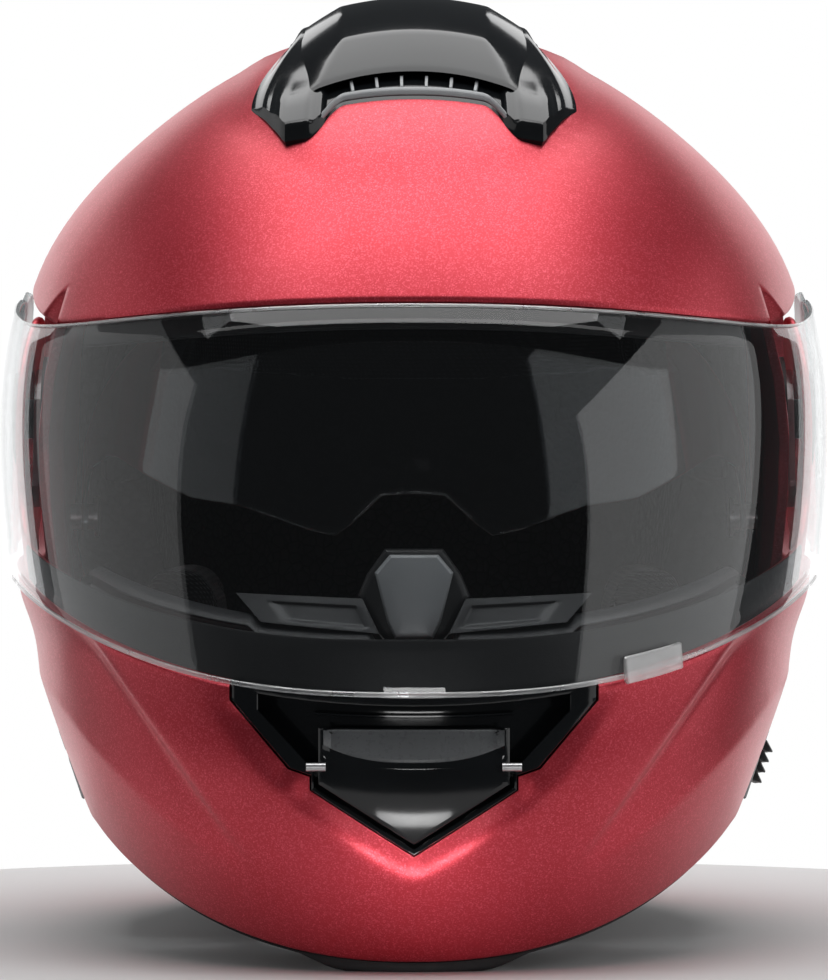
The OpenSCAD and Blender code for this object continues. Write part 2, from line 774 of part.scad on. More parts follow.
// Face shield -------------------------------------------------------------------------------
function shield_from(b) =
  abs(b) < 91 ? shield_low(b) : hinge_circle(abs(b), shield_end_r, -1);
function shield_to(b) =
  abs(b) < 91 ? spline(SHIELD_TOP, 0, abs(b)) : hinge_circle(abs(b), shield_end_r, 1);
shield_half = [0, 8, 16, 24, 32, 40, 48, 56, 64, 71, 78, 84, 90, 96, 101, 105, 108, 110];
shield_bearings = concat([for (i = [len(shield_half) - 1:-1:1]) -shield_half[i]], shield_half);
module face_shield() {
  color("lightgray", 0.4)
    skin_patch(
      shield_bearings, function (b) shield_from(b), function (b) shield_to(b), 6,
      shield_gap + shield_t, shield_gap
    );
}
module shield_tab() {
  low = function (b) shield_low(b) - 0.4;
  high = function (b) shield_low(b) + 2.1;
  color("lightgray", 0.6)
    skin_patch(even(21, 28.5, 5), low, high, 3, shield_gap + shield_t + 3.2, shield_gap + shield_t + 0.2);
}
hub_x = 120.5;
module shield_hub() {
  color("dimgray")
    difference() {
      x_rod(hinge_y, hinge_z, hub_x, boss_end_x - 0.5, 14);
      x_rod(hinge_y, hinge_z, hub_x - 1, boss_end_x + 2, boss_r + running_gap);
    }
}

outer_shell();
brow_gasket();
neck_trim();
impact_liner();
crown_pad();
neck_roll();
cheek_block();  // cheek_block_left
right_side() cheek_block();  // cheek_block_right
cheek_pad();  // cheek_pad_left
right_side() cheek_pad();  // cheek_pad_right
top_vent_base();
top_vent_slider();
rear_vent();
pivot_plate();  // pivot_plate_left
right_side() pivot_plate();  // pivot_plate_right
both_sides() pivot_screw();  // pivot_screws
sun_visor();
sun_visor_pivots();
side_cover();  // visor_lever_cover
visor_lever();
right_side() side_cover();  // side_cover_right
strap(16);  // strap_left
right_side() strap(38);  // strap_right
strap_rivets();
buckle_base();
buckle_lever();
ratchet_tongue();
latch_strikers();
chin_bar_shell();
hinge_arm();  // hinge_arm_left
right_side() hinge_arm();  // hinge_arm_right
hinge_rivets();
chin_rim();
chin_liner();
breath_deflector();
chin_vent_frame();
chin_vent_mesh();
chin_vent_door();
chin_vent_pins();
chin_trim();
chin_curtain();
release_housing();
release_button();
latch_hook();  // latch_hook_left
right_side() latch_hook();  // latch_hook_right
latch_pins();
face_shield();
shield_tab();
shield_hub();  // shield_hub_left
right_side() shield_hub();  // shield_hub_right
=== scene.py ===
"""Visual model of a flip-up motorcycle helmet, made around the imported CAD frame.

Lengths are in millimetres up to mesh_piece(), which turns them into metres. Bearings are in
degrees from the front (0) round to the wearer's left (90), and elevations are about the centre
that the CAD skin is measured from.
"""

import json
import math

import bmesh
import bpy
import numpy as np
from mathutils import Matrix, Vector

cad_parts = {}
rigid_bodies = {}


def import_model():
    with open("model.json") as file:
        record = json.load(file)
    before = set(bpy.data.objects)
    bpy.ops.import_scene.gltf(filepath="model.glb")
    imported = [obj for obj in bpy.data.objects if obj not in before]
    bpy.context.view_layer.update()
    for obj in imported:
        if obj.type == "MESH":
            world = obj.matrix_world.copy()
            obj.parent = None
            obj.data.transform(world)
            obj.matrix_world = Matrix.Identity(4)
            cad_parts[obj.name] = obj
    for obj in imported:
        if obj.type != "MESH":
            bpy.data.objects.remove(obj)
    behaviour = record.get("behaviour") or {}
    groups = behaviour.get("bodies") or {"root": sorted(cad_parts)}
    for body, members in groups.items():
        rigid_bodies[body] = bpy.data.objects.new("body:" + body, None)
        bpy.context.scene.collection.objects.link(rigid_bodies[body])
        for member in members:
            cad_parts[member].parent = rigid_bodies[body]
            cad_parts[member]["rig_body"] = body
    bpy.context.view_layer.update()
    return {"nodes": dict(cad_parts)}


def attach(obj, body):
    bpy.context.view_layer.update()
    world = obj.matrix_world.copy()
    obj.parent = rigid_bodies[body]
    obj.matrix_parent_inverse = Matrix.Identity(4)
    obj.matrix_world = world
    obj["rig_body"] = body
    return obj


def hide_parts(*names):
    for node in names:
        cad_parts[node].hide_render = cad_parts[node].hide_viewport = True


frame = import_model()
MM = 0.001

# Skin: the same curves as the CAD source -----------------------------------------------------
CENTRE_Z = 150.0
STEP = 15.0
MIDLINE = [
    231.5, 211.5, 206, 193.5, 168.5, 155, 141.5, 135, 131, 128, 126, 124.5,
    126, 131.5, 140.5, 150, 159.5, 166, 172.5, 180, 193.5, 213, 226,
]
FLANK = [200, 169.5, 141.5, 131.5, 124, 122, 124.5, 123.5, 120.5, 121, 123, 125.5]
BROW = [14.6, 14.1, 13.3, 13, 14.2, 18.6, 23.3]
SHIELD_TOP = [14, 13.5, 12.7, 12.4, 13.4, 16.8, 20.2]
SHIELD_BOTTOM = [-23.3, -23.1, -21.6, -19.9, -18.6, -17.4, -16]
HINGE_Y, HINGE_Z, SKIN_HALF_W = 6.0, 155.0, 122.5
SHELL_T, POCKET_DEPTH, POCKET_R = 3.5, 11.5, 44.0
CHIN_T, FLANGE_DEPTH, CHIN_ARM_R, SEAM_GAP = 2.6, 2.6, 32.0, 3.8
SHIELD_GAP, SHIELD_T, SHIELD_END_R = 0.6, 2.2, 37.5
CAVITY_DEPTH = 38.0
VENT_HALF_W = 50.0


def spline(values, start, x):
    values = np.asarray(values, float)
    count = len(values)
    t = np.clip((np.asarray(x, float) - start) / STEP, 0, count - 1.001)
    i = np.floor(t).astype(int)
    f = t - i

    def at(k):
        k = np.abs(k)
        return values[np.where(k > count - 1, 2 * (count - 1) - k, k)]

    return (
        at(i - 1) * (1 - f) ** 3
        + at(i) * (3 * f**3 - 6 * f * f + 4)
        + at(i + 1) * (-3 * f**3 + 3 * f * f + 3 * f + 1)
        + at(i + 2) * f**3
    ) / 6


def ramp(x):
    t = np.clip(x, 0, 1)
    return t * t * (3 - 2 * t)


def skin_r(b, e):
    b = np.radians(b)
    ahead = spline(MIDLINE, -75, np.where(np.cos(b) >= 0, e, 180 - np.asarray(e, float)))
    aside = spline(FLANK, -75, e)
    n = 2 + 0.35 * np.cos(np.radians(e)) ** 4
    return ((np.abs(np.cos(b)) / ahead) ** n + (np.abs(np.sin(b)) / aside) ** n) ** (-1 / n)


def skin(b, e, off=0.0):
    b, e, off = np.broadcast_arrays(np.asarray(b, float), np.asarray(e, float), off)
    r = skin_r(b, e) + off
    bearing, elevation = np.radians(b), np.radians(e)
    return np.stack(
        [
            r * np.sin(bearing) * np.cos(elevation),
            -r * np.cos(bearing) * np.cos(elevation),
            CENTRE_Z + r * np.sin(elevation),
        ],
        -1,
    )


def front_point(x, z, off=0.0):
    """The point of the skin, at an offset, that the front view shows at x and z."""
    x, z, off = np.broadcast_arrays(np.asarray(x, float), np.asarray(z, float), off)
    y = np.full(x.shape, -150.0)
    for _ in range(14):
        b = np.degrees(np.arctan2(x, -y))
        e = np.degrees(np.arctan2(z - CENTRE_Z, np.hypot(x, y)))
        r = skin_r(b, e) + off
        y = -np.sqrt(np.maximum(r * r - x * x - (z - CENTRE_Z) ** 2, 1))
    return np.stack([x, y, z], -1)


def plan_point(x, y, off=0.0):
    """The point of the skin, at an offset, that the view from above shows at x and y."""
    x, y, off = np.broadcast_arrays(np.asarray(x, float), np.asarray(y, float), off)
    b = np.degrees(np.arctan2(x, -y))
    z = np.full(x.shape, 110.0)
    for _ in range(14):
        e = np.degrees(np.arctan2(z, np.hypot(x, y)))
        r = skin_r(b, e) + off
        z = np.sqrt(np.maximum(r * r - x * x - y * y, 1))
    return np.stack([x, y, CENTRE_Z + z], -1)


def hinge_circle(b, r, side):
    y = -SKIN_HALF_W * np.cos(np.radians(b))
    q = np.maximum(r * r - (y - HINGE_Y) ** 2, 0)
    return np.degrees(np.arcsin((HINGE_Z - CENTRE_Z + side * np.sqrt(q)) / SKIN_HALF_W))


def brow_edge(b):
    b = np.abs(b)
    return np.where(b < 91, spline(BROW, 0, b), hinge_circle(np.maximum(b, 91), POCKET_R, 1))


def shield_low(b):
    return spline(SHIELD_BOTTOM, 0, np.abs(b))


def shell_low(b):
    return -46 - 2.5 * ramp((np.abs(b) - 55) / 25)


def rear_seam(b):
    b = np.abs(b)
    return np.minimum(-46 + (b - 84) * 2, hinge_circle(b, POCKET_R, -1))


def both(half):
    """A list of bearings mirrored about the front, in rising order."""
    half = np.asarray(half, float)
    return np.concatenate([-half[:0:-1], half])


# Meshes --------------------------------------------------------------------------------------
def mesh_piece(name, points, faces, finish, body, replaced=(), sharp=38.0):
    mesh = bpy.data.meshes.new(name)
    mesh.from_pydata((np.asarray(points).reshape(-1, 3) * MM).tolist(), [], faces)
    work = bmesh.new()
    work.from_mesh(mesh)
    bmesh.ops.remove_doubles(work, verts=work.verts, dist=1e-6)
    bmesh.ops.recalc_face_normals(work, faces=work.faces)
    work.to_mesh(mesh)
    work.free()
    piece = bpy.data.objects.new(name, mesh)
    bpy.context.scene.collection.objects.link(piece)
    return dress(piece, finish, body, replaced, sharp)


def dress(piece, finish, body, replaced=(), sharp=38.0):
    piece.data.materials.clear()
    piece.data.materials.append(finish.material)
    piece.data.shade_smooth()
    piece.data.set_sharp_from_angle(angle=math.radians(sharp))
    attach(piece, body)
    if replaced:
        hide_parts(*replaced)
    return piece


def grid_faces(rows, cols, wrap_cols=True, start=0):
    last = cols if wrap_cols else cols - 1
    return [
        [
            start + i * cols + j,
            start + i * cols + (j + 1) % cols,
            start + (i + 1) * cols + (j + 1) % cols,
            start + (i + 1) * cols + j,
        ]
        for i in range(rows - 1)
        for j in range(last)
    ]


def rings_piece(name, rings, *dressing, **more):
    """A closed solid from rings, each closed, with a fan over the first and the last."""
    rings = np.asarray(rings, float)
    count, around = rings.shape[:2]
    points = np.concatenate([rings.reshape(-1, 3), [rings[0].mean(0), rings[-1].mean(0)]])
    faces = grid_faces(count, around)
    for ring, pole in ((0, count * around), (count - 1, count * around + 1)):
        first = ring * around
        faces += [[pole, first + j, first + (j + 1) % around] for j in range(around)]
    return mesh_piece(name, points, faces, *dressing, **more)


def tube_piece(name, loops, *dressing, **more):
    """A closed solid from loops whose first and second halves face each other across its wall."""
    loops = np.asarray(loops, float)
    count, around = loops.shape[:2]
    faces = grid_faces(count, around)
    for start in (0, (count - 1) * around):
        faces += [
            [start + j, start + j + 1, start + around - 2 - j, start + around - 1 - j]
            for j in range(around // 2 - 1)
        ]
    return mesh_piece(name, loops, faces, *dressing, **more)


def wall_section(rows, corners=4, square=0.7):
    """Round a wall once: place along it, place across it and how far into the edge round."""
    turn = math.pi * (np.arange(corners) + 0.5) / corners
    reach = np.sin(turn) ** square
    across = 0.5 - 0.5 * np.sign(np.cos(turn)) * np.abs(np.cos(turn)) ** square
    line = np.linspace(0, 1, rows)
    along = np.concatenate([line, np.ones(corners), line[::-1], np.zeros(corners)])
    depth = np.concatenate([np.zeros(rows), across, np.ones(rows), across[::-1]])
    edge = np.concatenate([np.zeros(rows), reach, np.zeros(rows), -reach[::-1]])
    return [np.roll(v, corners // 2) for v in (along, depth, edge)]


def wrapped(bearings, low, high, outer, inner, rows=10, edge=0.5, corners=4):
    """Loops of a wall on the skin with rounded edges and ends."""
    b = np.asarray(bearings, float)
    first = [(b[0] + edge * (1 - math.sqrt(1 - q * q)), q) for q in (0.35, 0.7, 0.93, 1)]
    last = [(b[-1] - edge * (1 - math.sqrt(1 - q * q)), q) for q in (1, 0.93, 0.7, 0.35)]
    middle = [(x, 1) for x in b if first[-1][0] < x < last[0][0]]
    stations = np.array(first + middle + last)
    b, squeeze = stations[:, 0:1], stations[:, 1:2]
    along, depth, bend = wall_section(rows, corners)
    trim = edge * (2 - squeeze)
    bottom, top = low(b) + trim, high(b) - trim
    e = bottom * (1 - along) + top * along + edge * bend
    depth = 0.5 + (depth - 0.5) * squeeze
    outside = outer(b, e) if callable(outer) else outer
    inside = inner(b, e) if callable(inner) else inner
    return skin(b + 0 * e, e, outside * (1 - depth) + inside * depth)


def constant(value):
    return lambda b: value + 0 * b


def resampled(corners, step):
    """A closed outline with its corners kept and its sides cut to about one step."""
    corners = np.asarray(corners, float)
    points = []
    for p, q in zip(corners, np.roll(corners, -1, 0)):
        count = max(int(math.ceil(np.linalg.norm(q - p) / step)), 1)
        points += [p + (q - p) * k / count for k in range(count)]
    return np.asarray(points)


def outline_distance(points, corners):
    """Distance in the plane from points to a closed outline."""
    best = np.full(points.shape[:-1], 1e9)
    corners = np.asarray(corners, float)
    for p, q in zip(corners, np.roll(corners, -1, 0)):
        t = np.clip(((points - p) @ (q - p)) / ((q - p) @ (q - p)), 0, 1)
        best = np.minimum(best, np.linalg.norm(points - p - t[..., None] * (q - p), axis=-1))
    return best


# Finishes ------------------------------------------------------------------------------------
class Finish:
    """A material built of nodes, and the record's slot that it belongs to."""

    def __init__(self, name, slot, **shader):
        self.slot = slot
        self.material = bpy.data.materials.new(name)
        self.material.use_nodes = True
        self.tree = self.material.node_tree
        self.shader = self.tree.nodes["Principled BSDF"]
        self.place = self.node("ShaderNodeTexCoord").outputs["Object"]
        for key, value in shader.items():
            socket = self.shader.inputs[key.replace("_", " ")]
            socket.default_value = (*value, 1) if isinstance(value, tuple) else value

    def node(self, kind, **settings):
        made = self.tree.nodes.new(kind)
        for key, value in settings.items():
            if hasattr(made, key):
                setattr(made, key, value)
            else:
                made.inputs[key.replace("_", " ")].default_value = value
        return made

    def link(self, source, target):
        self.tree.links.new(source, target)

    def stretched(self, x, y, z):
        made = self.node("ShaderNodeMapping")
        made.inputs["Scale"].default_value = (x, y, z)
        self.link(self.place, made.inputs["Vector"])
        return made.outputs["Vector"]

    def noise(self, size, detail=2.0, roughness=0.5, place=None):
        made = self.node(
            "ShaderNodeTexNoise", Scale=1000 / size, Detail=detail, Roughness=roughness
        )
        self.link(place or self.place, made.inputs["Vector"])
        return made.outputs["Fac"]

    def cells(self, size, output="Distance", feature="F1", place=None):
        made = self.node("ShaderNodeTexVoronoi", feature=feature, Scale=1000 / size)
        self.link(place or self.place, made.inputs["Vector"])
        return made.outputs[output]

    def wave(self, size, direction, distortion=0.0, place=None):
        made = self.node(
            "ShaderNodeTexWave", bands_direction=direction, Scale=1000 / size / 3.1416,
            Distortion=distortion, Detail=1.0,
        )
        self.link(place or self.place, made.inputs["Vector"])
        return made.outputs["Fac"]

    def math(self, operation, a, b):
        made = self.node("ShaderNodeMath", operation=operation)
        for socket, value in zip(made.inputs, (a, b)):
            if isinstance(value, float):
                socket.default_value = value
            else:
                self.link(value, socket)
        return made.outputs["Value"]

    def between(self, source, low, high, start=0.0, end=1.0):
        made = self.node("ShaderNodeMapRange")
        limits = {"From Min": start, "From Max": end, "To Min": low, "To Max": high}
        for key, value in limits.items():
            made.inputs[key].default_value = value
        self.link(source, made.inputs["Value"])
        return made.outputs["Result"]

    def blend(self, factor, one, other):
        made = self.node("ShaderNodeMix", data_type="RGBA")
        self.link(factor, made.inputs["Factor"])
        for socket, value in zip((made.inputs[6], made.inputs[7]), (one, other)):
            if isinstance(value, tuple):
                socket.default_value = (*value, 1)
            else:
                self.link(value, socket)
        return made.outputs[2]

    def bump(self, height, distance, strength=1.0, under=None):
        made = self.node("ShaderNodeBump", Distance=distance * MM, Strength=strength)
        self.link(height, made.inputs["Height"])
        if under is not None:
            self.link(under, made.inputs["Normal"])
        return made.outputs["Normal"]

    def wire(self, **sockets):
        for key, source in sockets.items():
            self.link(source, self.shader.inputs[key.replace("_", " ")])
        return self


def metallic_paint():
    f = Finish(
        "metallic_red_paint", "shell_paint", Metallic=0.75, Coat_Weight=0.3, Coat_Roughness=0.28,
        Specular_IOR_Level=0.5,
    )
    flake = f.cells(0.35, "Color")
    drift = f.noise(38, 2)
    base = f.blend(f.between(drift, 0, 1, 0.35, 0.65), (0.55, 0.032, 0.05), (0.6, 0.04, 0.062))
    sparkle = f.blend(f.between(flake, 0, 1, 0.55, 1.0), base, (0.8, 0.11, 0.155))
    peel = f.bump(f.noise(2.4, 1), 0.035, 0.5)
    return f.wire(
        Base_Color=sparkle,
        Roughness=f.between(f.noise(6, 3), 0.37, 0.45),
        Normal=f.bump(f.cells(0.5), 0.006, 0.35, peel),
    )


def moulded(name, slot, colour, roughness, grain=0.0, grain_size=0.6, variation=0.35, **shader):
    """Moulded plastic: a slight tone drift, dulled patches and an optional fine grain."""
    f = Finish(name, slot, **shader)
    lighter = tuple(c * (1 + variation) + 0.002 for c in colour)
    tone = f.blend(f.between(f.noise(24, 3), 0, 1, 0.3, 0.7), colour, lighter)
    dust = f.between(f.noise(1.6, 4, 0.7), roughness * 0.88, roughness * 1.18, 0.3, 0.7)
    swell = f.bump(f.noise(9, 1), 0.05, 0.35)
    normal = f.bump(f.cells(grain_size), grain, 0.6, swell) if grain else swell
    return f.wire(Base_Color=tone, Roughness=dust, Normal=normal)


def rubber():
    f = Finish("black_rubber", "seal_rubber", Specular_IOR_Level=0.35)
    tone = f.blend(f.noise(5, 4, 0.7), (0.012, 0.012, 0.013), (0.03, 0.03, 0.031))
    return f.wire(
        Base_Color=tone,
        Roughness=f.between(f.noise(2, 3), 0.55, 0.75),
        Normal=f.bump(f.noise(0.5, 3, 0.7), 0.03, 0.6),
    )


def expanded_foam():
    f = Finish("expanded_foam", "foam_liner", Specular_IOR_Level=0.3)
    bead = f.cells(3.4, "Color")
    edge = f.cells(3.4, feature="DISTANCE_TO_EDGE")
    tone = f.blend(f.between(bead, 0, 1, 0.0, 1.0), (0.016, 0.016, 0.017), (0.024, 0.024, 0.026))
    seam = f.blend(f.between(edge, 0, 1, 0.0, 0.12), (0.009, 0.009, 0.01), tone)
    grain = f.bump(f.noise(0.5, 3, 0.7), 0.03, 0.5)
    return f.wire(
        Base_Color=seam,
        Roughness=f.between(f.noise(4, 3), 0.6, 0.8),
        Normal=f.bump(f.between(edge, 0, 1, 0.0, 0.3), 0.25, 0.7, grain),
    )


def knit(name, slot, dark, light, pitch=1.3):
    """Brushed spacer knit: crossed waves for the stitches, with fuzz and sheen over them."""
    f = Finish(name, slot, Sheen_Weight=0.45, Sheen_Roughness=0.4, Specular_IOR_Level=0.2)
    course = f.wave(pitch, "Z", 1.2)
    wale = f.wave(pitch * 0.8, "DIAGONAL", 0.8)
    stitch = f.math("MULTIPLY", course, wale)
    fuzz = f.noise(0.7, 4, 0.75)
    tone = f.blend(stitch, dark, light)
    worn = f.blend(f.between(f.noise(30, 3), 0, 0.5, 0.45, 0.8), tone, light)
    return f.wire(
        Base_Color=worn,
        Roughness=f.between(fuzz, 0.8, 0.97),
        Normal=f.bump(stitch, 0.3, 0.8, f.bump(fuzz, 0.12, 0.5)),
    )


def woven_strap():
    f = Finish("strap_webbing", "webbing", Sheen_Weight=0.2, Specular_IOR_Level=0.3)
    across = f.wave(1.5, "Y")
    along = f.wave(1.9, "DIAGONAL")
    weave = f.math("MULTIPLY", across, along)
    tone = f.blend(weave, (0.008, 0.008, 0.009), (0.05, 0.05, 0.054))
    return f.wire(
        Base_Color=tone,
        Roughness=f.between(f.noise(0.8, 3), 0.6, 0.85),
        Normal=f.bump(weave, 0.35, 0.9),
    )


def brushed_steel():
    f = Finish("brushed_steel", "steel", Metallic=1.0)
    streak = f.noise(1.0, 3, 0.6, f.stretched(0.6, 0.05, 0.6))
    tone = f.blend(f.noise(6, 3), (0.5, 0.5, 0.5), (0.68, 0.68, 0.69))
    scuffed = f.blend(f.between(f.noise(2.2, 5, 0.75), 0, 1, 0.55, 0.72), tone, (0.36, 0.35, 0.34))
    return f.wire(
        Base_Color=scuffed,
        Roughness=f.between(streak, 0.22, 0.42),
        Normal=f.bump(streak, 0.02, 0.6),
    )


LENS_IOR = 1.5


def lens(name, slot, tint, roughness, waviness, haze=0.0):
    """Thin clear plastic: what is behind shows through, and the gloss grows towards the edges."""
    f = Finish(name, slot)
    f.tree.nodes.remove(f.shader)
    through = f.node("ShaderNodeBsdfTransparent")
    through.inputs["Color"].default_value = (*tint, 1)
    gloss = f.node("ShaderNodeBsdfGlossy")
    gloss.inputs["Color"].default_value = (1, 1, 1, 1)
    wave = f.bump(f.noise(60, 1), waviness, 0.4)
    smear = f.between(f.noise(11, 4, 0.6), roughness * 0.6, roughness * 1.8, 0.35, 0.7)
    f.link(smear, gloss.inputs["Roughness"])
    f.link(wave, gloss.inputs["Normal"])
    fresnel = f.node("ShaderNodeFresnel")
    leaving = f.node("ShaderNodeNewGeometry").outputs["Backfacing"]
    f.link(f.between(leaving, LENS_IOR, 1 / LENS_IOR), fresnel.inputs["IOR"])
    f.link(wave, fresnel.inputs["Normal"])
    mixed = f.node("ShaderNodeMixShader")
    f.link(f.between(fresnel.outputs["Fac"], haze, 1), mixed.inputs["Fac"])
    f.link(through.outputs[0], mixed.inputs[1])
    f.link(gloss.outputs[0], mixed.inputs[2])
    f.link(mixed.outputs[0], f.tree.nodes["Material Output"].inputs["Surface"])
    return f


PAINT = metallic_paint()
GLOSS = moulded("gloss_black_plastic", "black_gloss", (0.006, 0.007, 0.008), 0.1)
SATIN = moulded("satin_black_plastic", "black_satin", (0.012, 0.012, 0.013), 0.42, 0.03)
GREY = moulded("grey_plastic", "grey_plastic", (0.1, 0.1, 0.105), 0.45, 0.04, variation=0.2)
LEDGE = moulded("dark_ledge_plastic", "black_satin", (0.03, 0.031, 0.033), 0.38, 0.03)
# Painted reflection: a lighter grey for the door's black gloss scoop face, standing in for the
# bright sky that it reflects.
SCOOP_REFLECTION_GREY = moulded(
    "scoop_painted_reflection_grey", "black_gloss", (0.13, 0.135, 0.14), 0.28, 0.02, variation=0.15
)
SILVER = moulded(
    "silver_grey_plastic", "grey_plastic", (0.3, 0.31, 0.32), 0.3, 0.02, variation=0.15
)
RED = moulded("red_plastic", "red_plastic", (0.42, 0.01, 0.02), 0.3, 0.02, 0.5, 0.15)
RUBBER = rubber()
FOAM = expanded_foam()
FABRIC = knit("brushed_knit", "comfort_fabric", (0.012, 0.012, 0.013), (0.05, 0.05, 0.054))
CURTAIN = knit("curtain_mesh", "comfort_fabric", (0.008, 0.008, 0.009), (0.03, 0.03, 0.032), 2.0)
WEBBING = woven_strap()
STEEL = brushed_steel()
CLEAR = lens("clear_polycarbonate", "clear_lens", (0.94, 0.95, 0.955), 0.015, 0.4)
FROST = lens("frosted_polycarbonate", "clear_lens", (0.9, 0.9, 0.9), 0.35, 0.4, 0.28)
SMOKE = lens("smoke_polycarbonate", "smoke_lens", (0.5, 0.52, 0.54), 0.03, 0.3)


# Camera and light ----------------------------------------------------------------------------
CAMERA_DISTANCE = 1.5
CAMERA_HEIGHT = 0.1332
FRAME_WIDTH = 0.2526
SENSOR_WIDTH = 36
HELMET = (0, -0.02, 0.14)
FLOOR_RADIUS, FLOOR_SIDES = 0.27, 96


def set_camera():
    data = bpy.data.cameras.new("camera")
    data.sensor_fit = "HORIZONTAL"
    data.sensor_width = SENSOR_WIDTH
    data.lens = SENSOR_WIDTH * CAMERA_DISTANCE / FRAME_WIDTH
    camera = bpy.data.objects.new("camera", data)
    camera.location = (0, -CAMERA_DISTANCE, CAMERA_HEIGHT)
    camera.rotation_euler = (math.pi / 2, 0, 0)
    bpy.context.scene.collection.objects.link(camera)
    bpy.context.scene.camera = camera


def softbox(
    name, bearing, elevation, distance, width, height, radiance, aim=HELMET, spread=math.pi
):
    """An area light that faces aim. Its sizes are in metres and its radiance in render units."""
    data = bpy.data.lights.new(name, "AREA")
    data.shape = "RECTANGLE"
    data.size, data.size_y = width, height
    data.energy = radiance * math.pi * width * height
    data.spread = spread
    light = bpy.data.objects.new(name, data)
    b, e = math.radians(bearing), math.radians(elevation)
    offset = Vector((math.sin(b) * math.cos(e), -math.cos(b) * math.cos(e), math.sin(e)))
    light.location = Vector(aim) + offset * distance
    light.rotation_euler = (-offset).to_track_quat("-Z", "Y").to_euler()
    light.visible_camera = False
    bpy.context.scene.collection.objects.link(light)


def set_light():
    softbox("top_softbox", 0, 94, 1.3, 1.3, 1.65, 2.9)
    softbox("front_strip", 0, 68, 1.3, 2.3, 0.2, 1.5)
    softbox("chin_glow", 0, -17, 0.08, 0.05, 0.016, 2.2, aim=(0, -0.145, 0.024), spread=0.9)
    softbox("left_panel", -97, 12, 1.3, 1.6, 1.3, 0.5)
    softbox("right_panel", 78, 12, 1.3, 1.7, 1.3, 0.85)
    softbox("rear_left_panel", -154, 8, 1.4, 0.8, 1.2, 1.3)
    softbox("rear_right_panel", 154, 8, 1.4, 0.8, 1.2, 1.3)
    softbox("chin_light", 0, 2, 0.5, 0.12, 0.04, 9.0, aim=(0, -0.13, 0.025))
    world = bpy.data.worlds.new("studio")
    world.use_nodes = True
    nodes, links = world.node_tree.nodes, world.node_tree.links
    seen = nodes.new("ShaderNodeBackground")
    seen.inputs["Color"].default_value = (1, 1, 1, 1)
    lit = nodes["Background"]
    lit.inputs["Color"].default_value = (0.9, 0.95, 1, 1)
    lit.inputs["Strength"].default_value = 0.05
    path = nodes.new("ShaderNodeLightPath")
    mixed = nodes.new("ShaderNodeMixShader")
    links.new(path.outputs["Is Camera Ray"], mixed.inputs["Fac"])
    links.new(lit.outputs[0], mixed.inputs[1])
    links.new(seen.outputs[0], mixed.inputs[2])
    links.new(mixed.outputs[0], nodes["World Output"].inputs["Surface"])
    scene = bpy.context.scene
    scene.world = world
    scene.view_settings.view_transform = "Standard"


def set_floor():
    mesh = bpy.data.meshes.new("floor")
    turn = [2 * math.pi * k / FLOOR_SIDES for k in range(FLOOR_SIDES)]
    edge = [(FLOOR_RADIUS * math.cos(a), FLOOR_RADIUS * math.sin(a), 0) for a in turn]
    mesh.from_pydata(edge, [], [list(range(FLOOR_SIDES))])
    floor = bpy.data.objects.new("floor", mesh)
    bpy.context.scene.collection.objects.link(floor)
    f = Finish("pale_floor", "black_satin", Roughness=0.9, Specular_IOR_Level=0.1)
    f.wire(Base_Color=f.blend(f.noise(400, 2), (0.68, 0.68, 0.68), (0.71, 0.71, 0.71)))
    mesh.materials.append(f.material)


# Painted shell -------------------------------------------------------------------------------
LOW_ROWS, WALL_ROWS, HIGH_ROWS = 22, 9, 34
PORT_SIDE, POCKET_END = 52.0, 113.8


def relief(b, e):
    p = skin(b, e)
    front = 2.8 * np.exp(-(((p[..., 1] + 50) / 36) ** 2) - ((p[..., 2] - 180) / 17) ** 2)
    rear = 1.6 * np.exp(-(((p[..., 1] - 54) / 22) ** 2) - ((p[..., 2] - 168) / 34) ** 2)
    return front + rear


def blister(b, e):
    """The soft raised panel that the top vent stands on."""
    b = np.where(b > 180, b - 360, b)
    rise = 32.4 + 10.5 * ramp((np.abs(b) - 9) / 24)
    side = 1 - ramp((np.abs(skin(b, e)[..., 0]) - 44) / 9)
    return 1.1 * ramp((e - rise) / 3.2) * (1 - ramp((e - 60) / 20)) * side * (np.abs(b) < 80)


def port_rows(t):
    a = brow_edge(t)
    e = [np.linspace(a + 0.6, a + 4.1, LOW_ROWS), np.linspace(a + 4.3, a + 5.2, WALL_ROWS)]
    return np.concatenate(e + [np.linspace(a + 5.5, 88, HIGH_ROWS)]), 0


def pocket_top(t):
    a = brow_edge(t)
    across = np.linspace(0, 1, WALL_ROWS)
    e = [a - 0.8 + 1.6 * across, np.linspace(a + 1.1, 88, HIGH_ROWS)]
    return e, [-POCKET_DEPTH * (1 - ramp(across)), np.zeros(HIGH_ROWS)]


def pocket_rows(t):
    e, off = pocket_top(t)
    low = np.linspace(shell_low(t), brow_edge(t) - 0.95, LOW_ROWS)
    return np.concatenate([low] + e), np.concatenate([np.full(LOW_ROWS, -POCKET_DEPTH)] + off)


def rear_pocket_rows(t):
    e, off = pocket_top(t)
    low, seam = shell_low(t), rear_seam(t)
    edge = max(seam - 1, low + 0.6)
    foot = max(seam + 1, low + 2.6)
    across = np.linspace(0, 1, 8)[1:-1]
    parts = [
        np.linspace(low - 0.6, edge, 7), edge + (foot - edge) * across,
        np.linspace(foot, brow_edge(t) - 0.95, LOW_ROWS - 13),
    ]
    depth = [np.zeros(7), -POCKET_DEPTH * ramp(across), np.full(LOW_ROWS - 13, -POCKET_DEPTH)]
    return np.concatenate(parts + e), np.concatenate(depth + off)


def rear_rows(t):
    e, _ = pocket_top(t)
    low = np.linspace(shell_low(t) - 0.6 * (t < 111), brow_edge(t) - 0.95, LOW_ROWS)
    return np.concatenate([low] + e), 0


def mixed_rows(one, other, share):
    return one[0] * (1 - share) + other[0] * share, one[1] * (1 - share) + other[1] * share


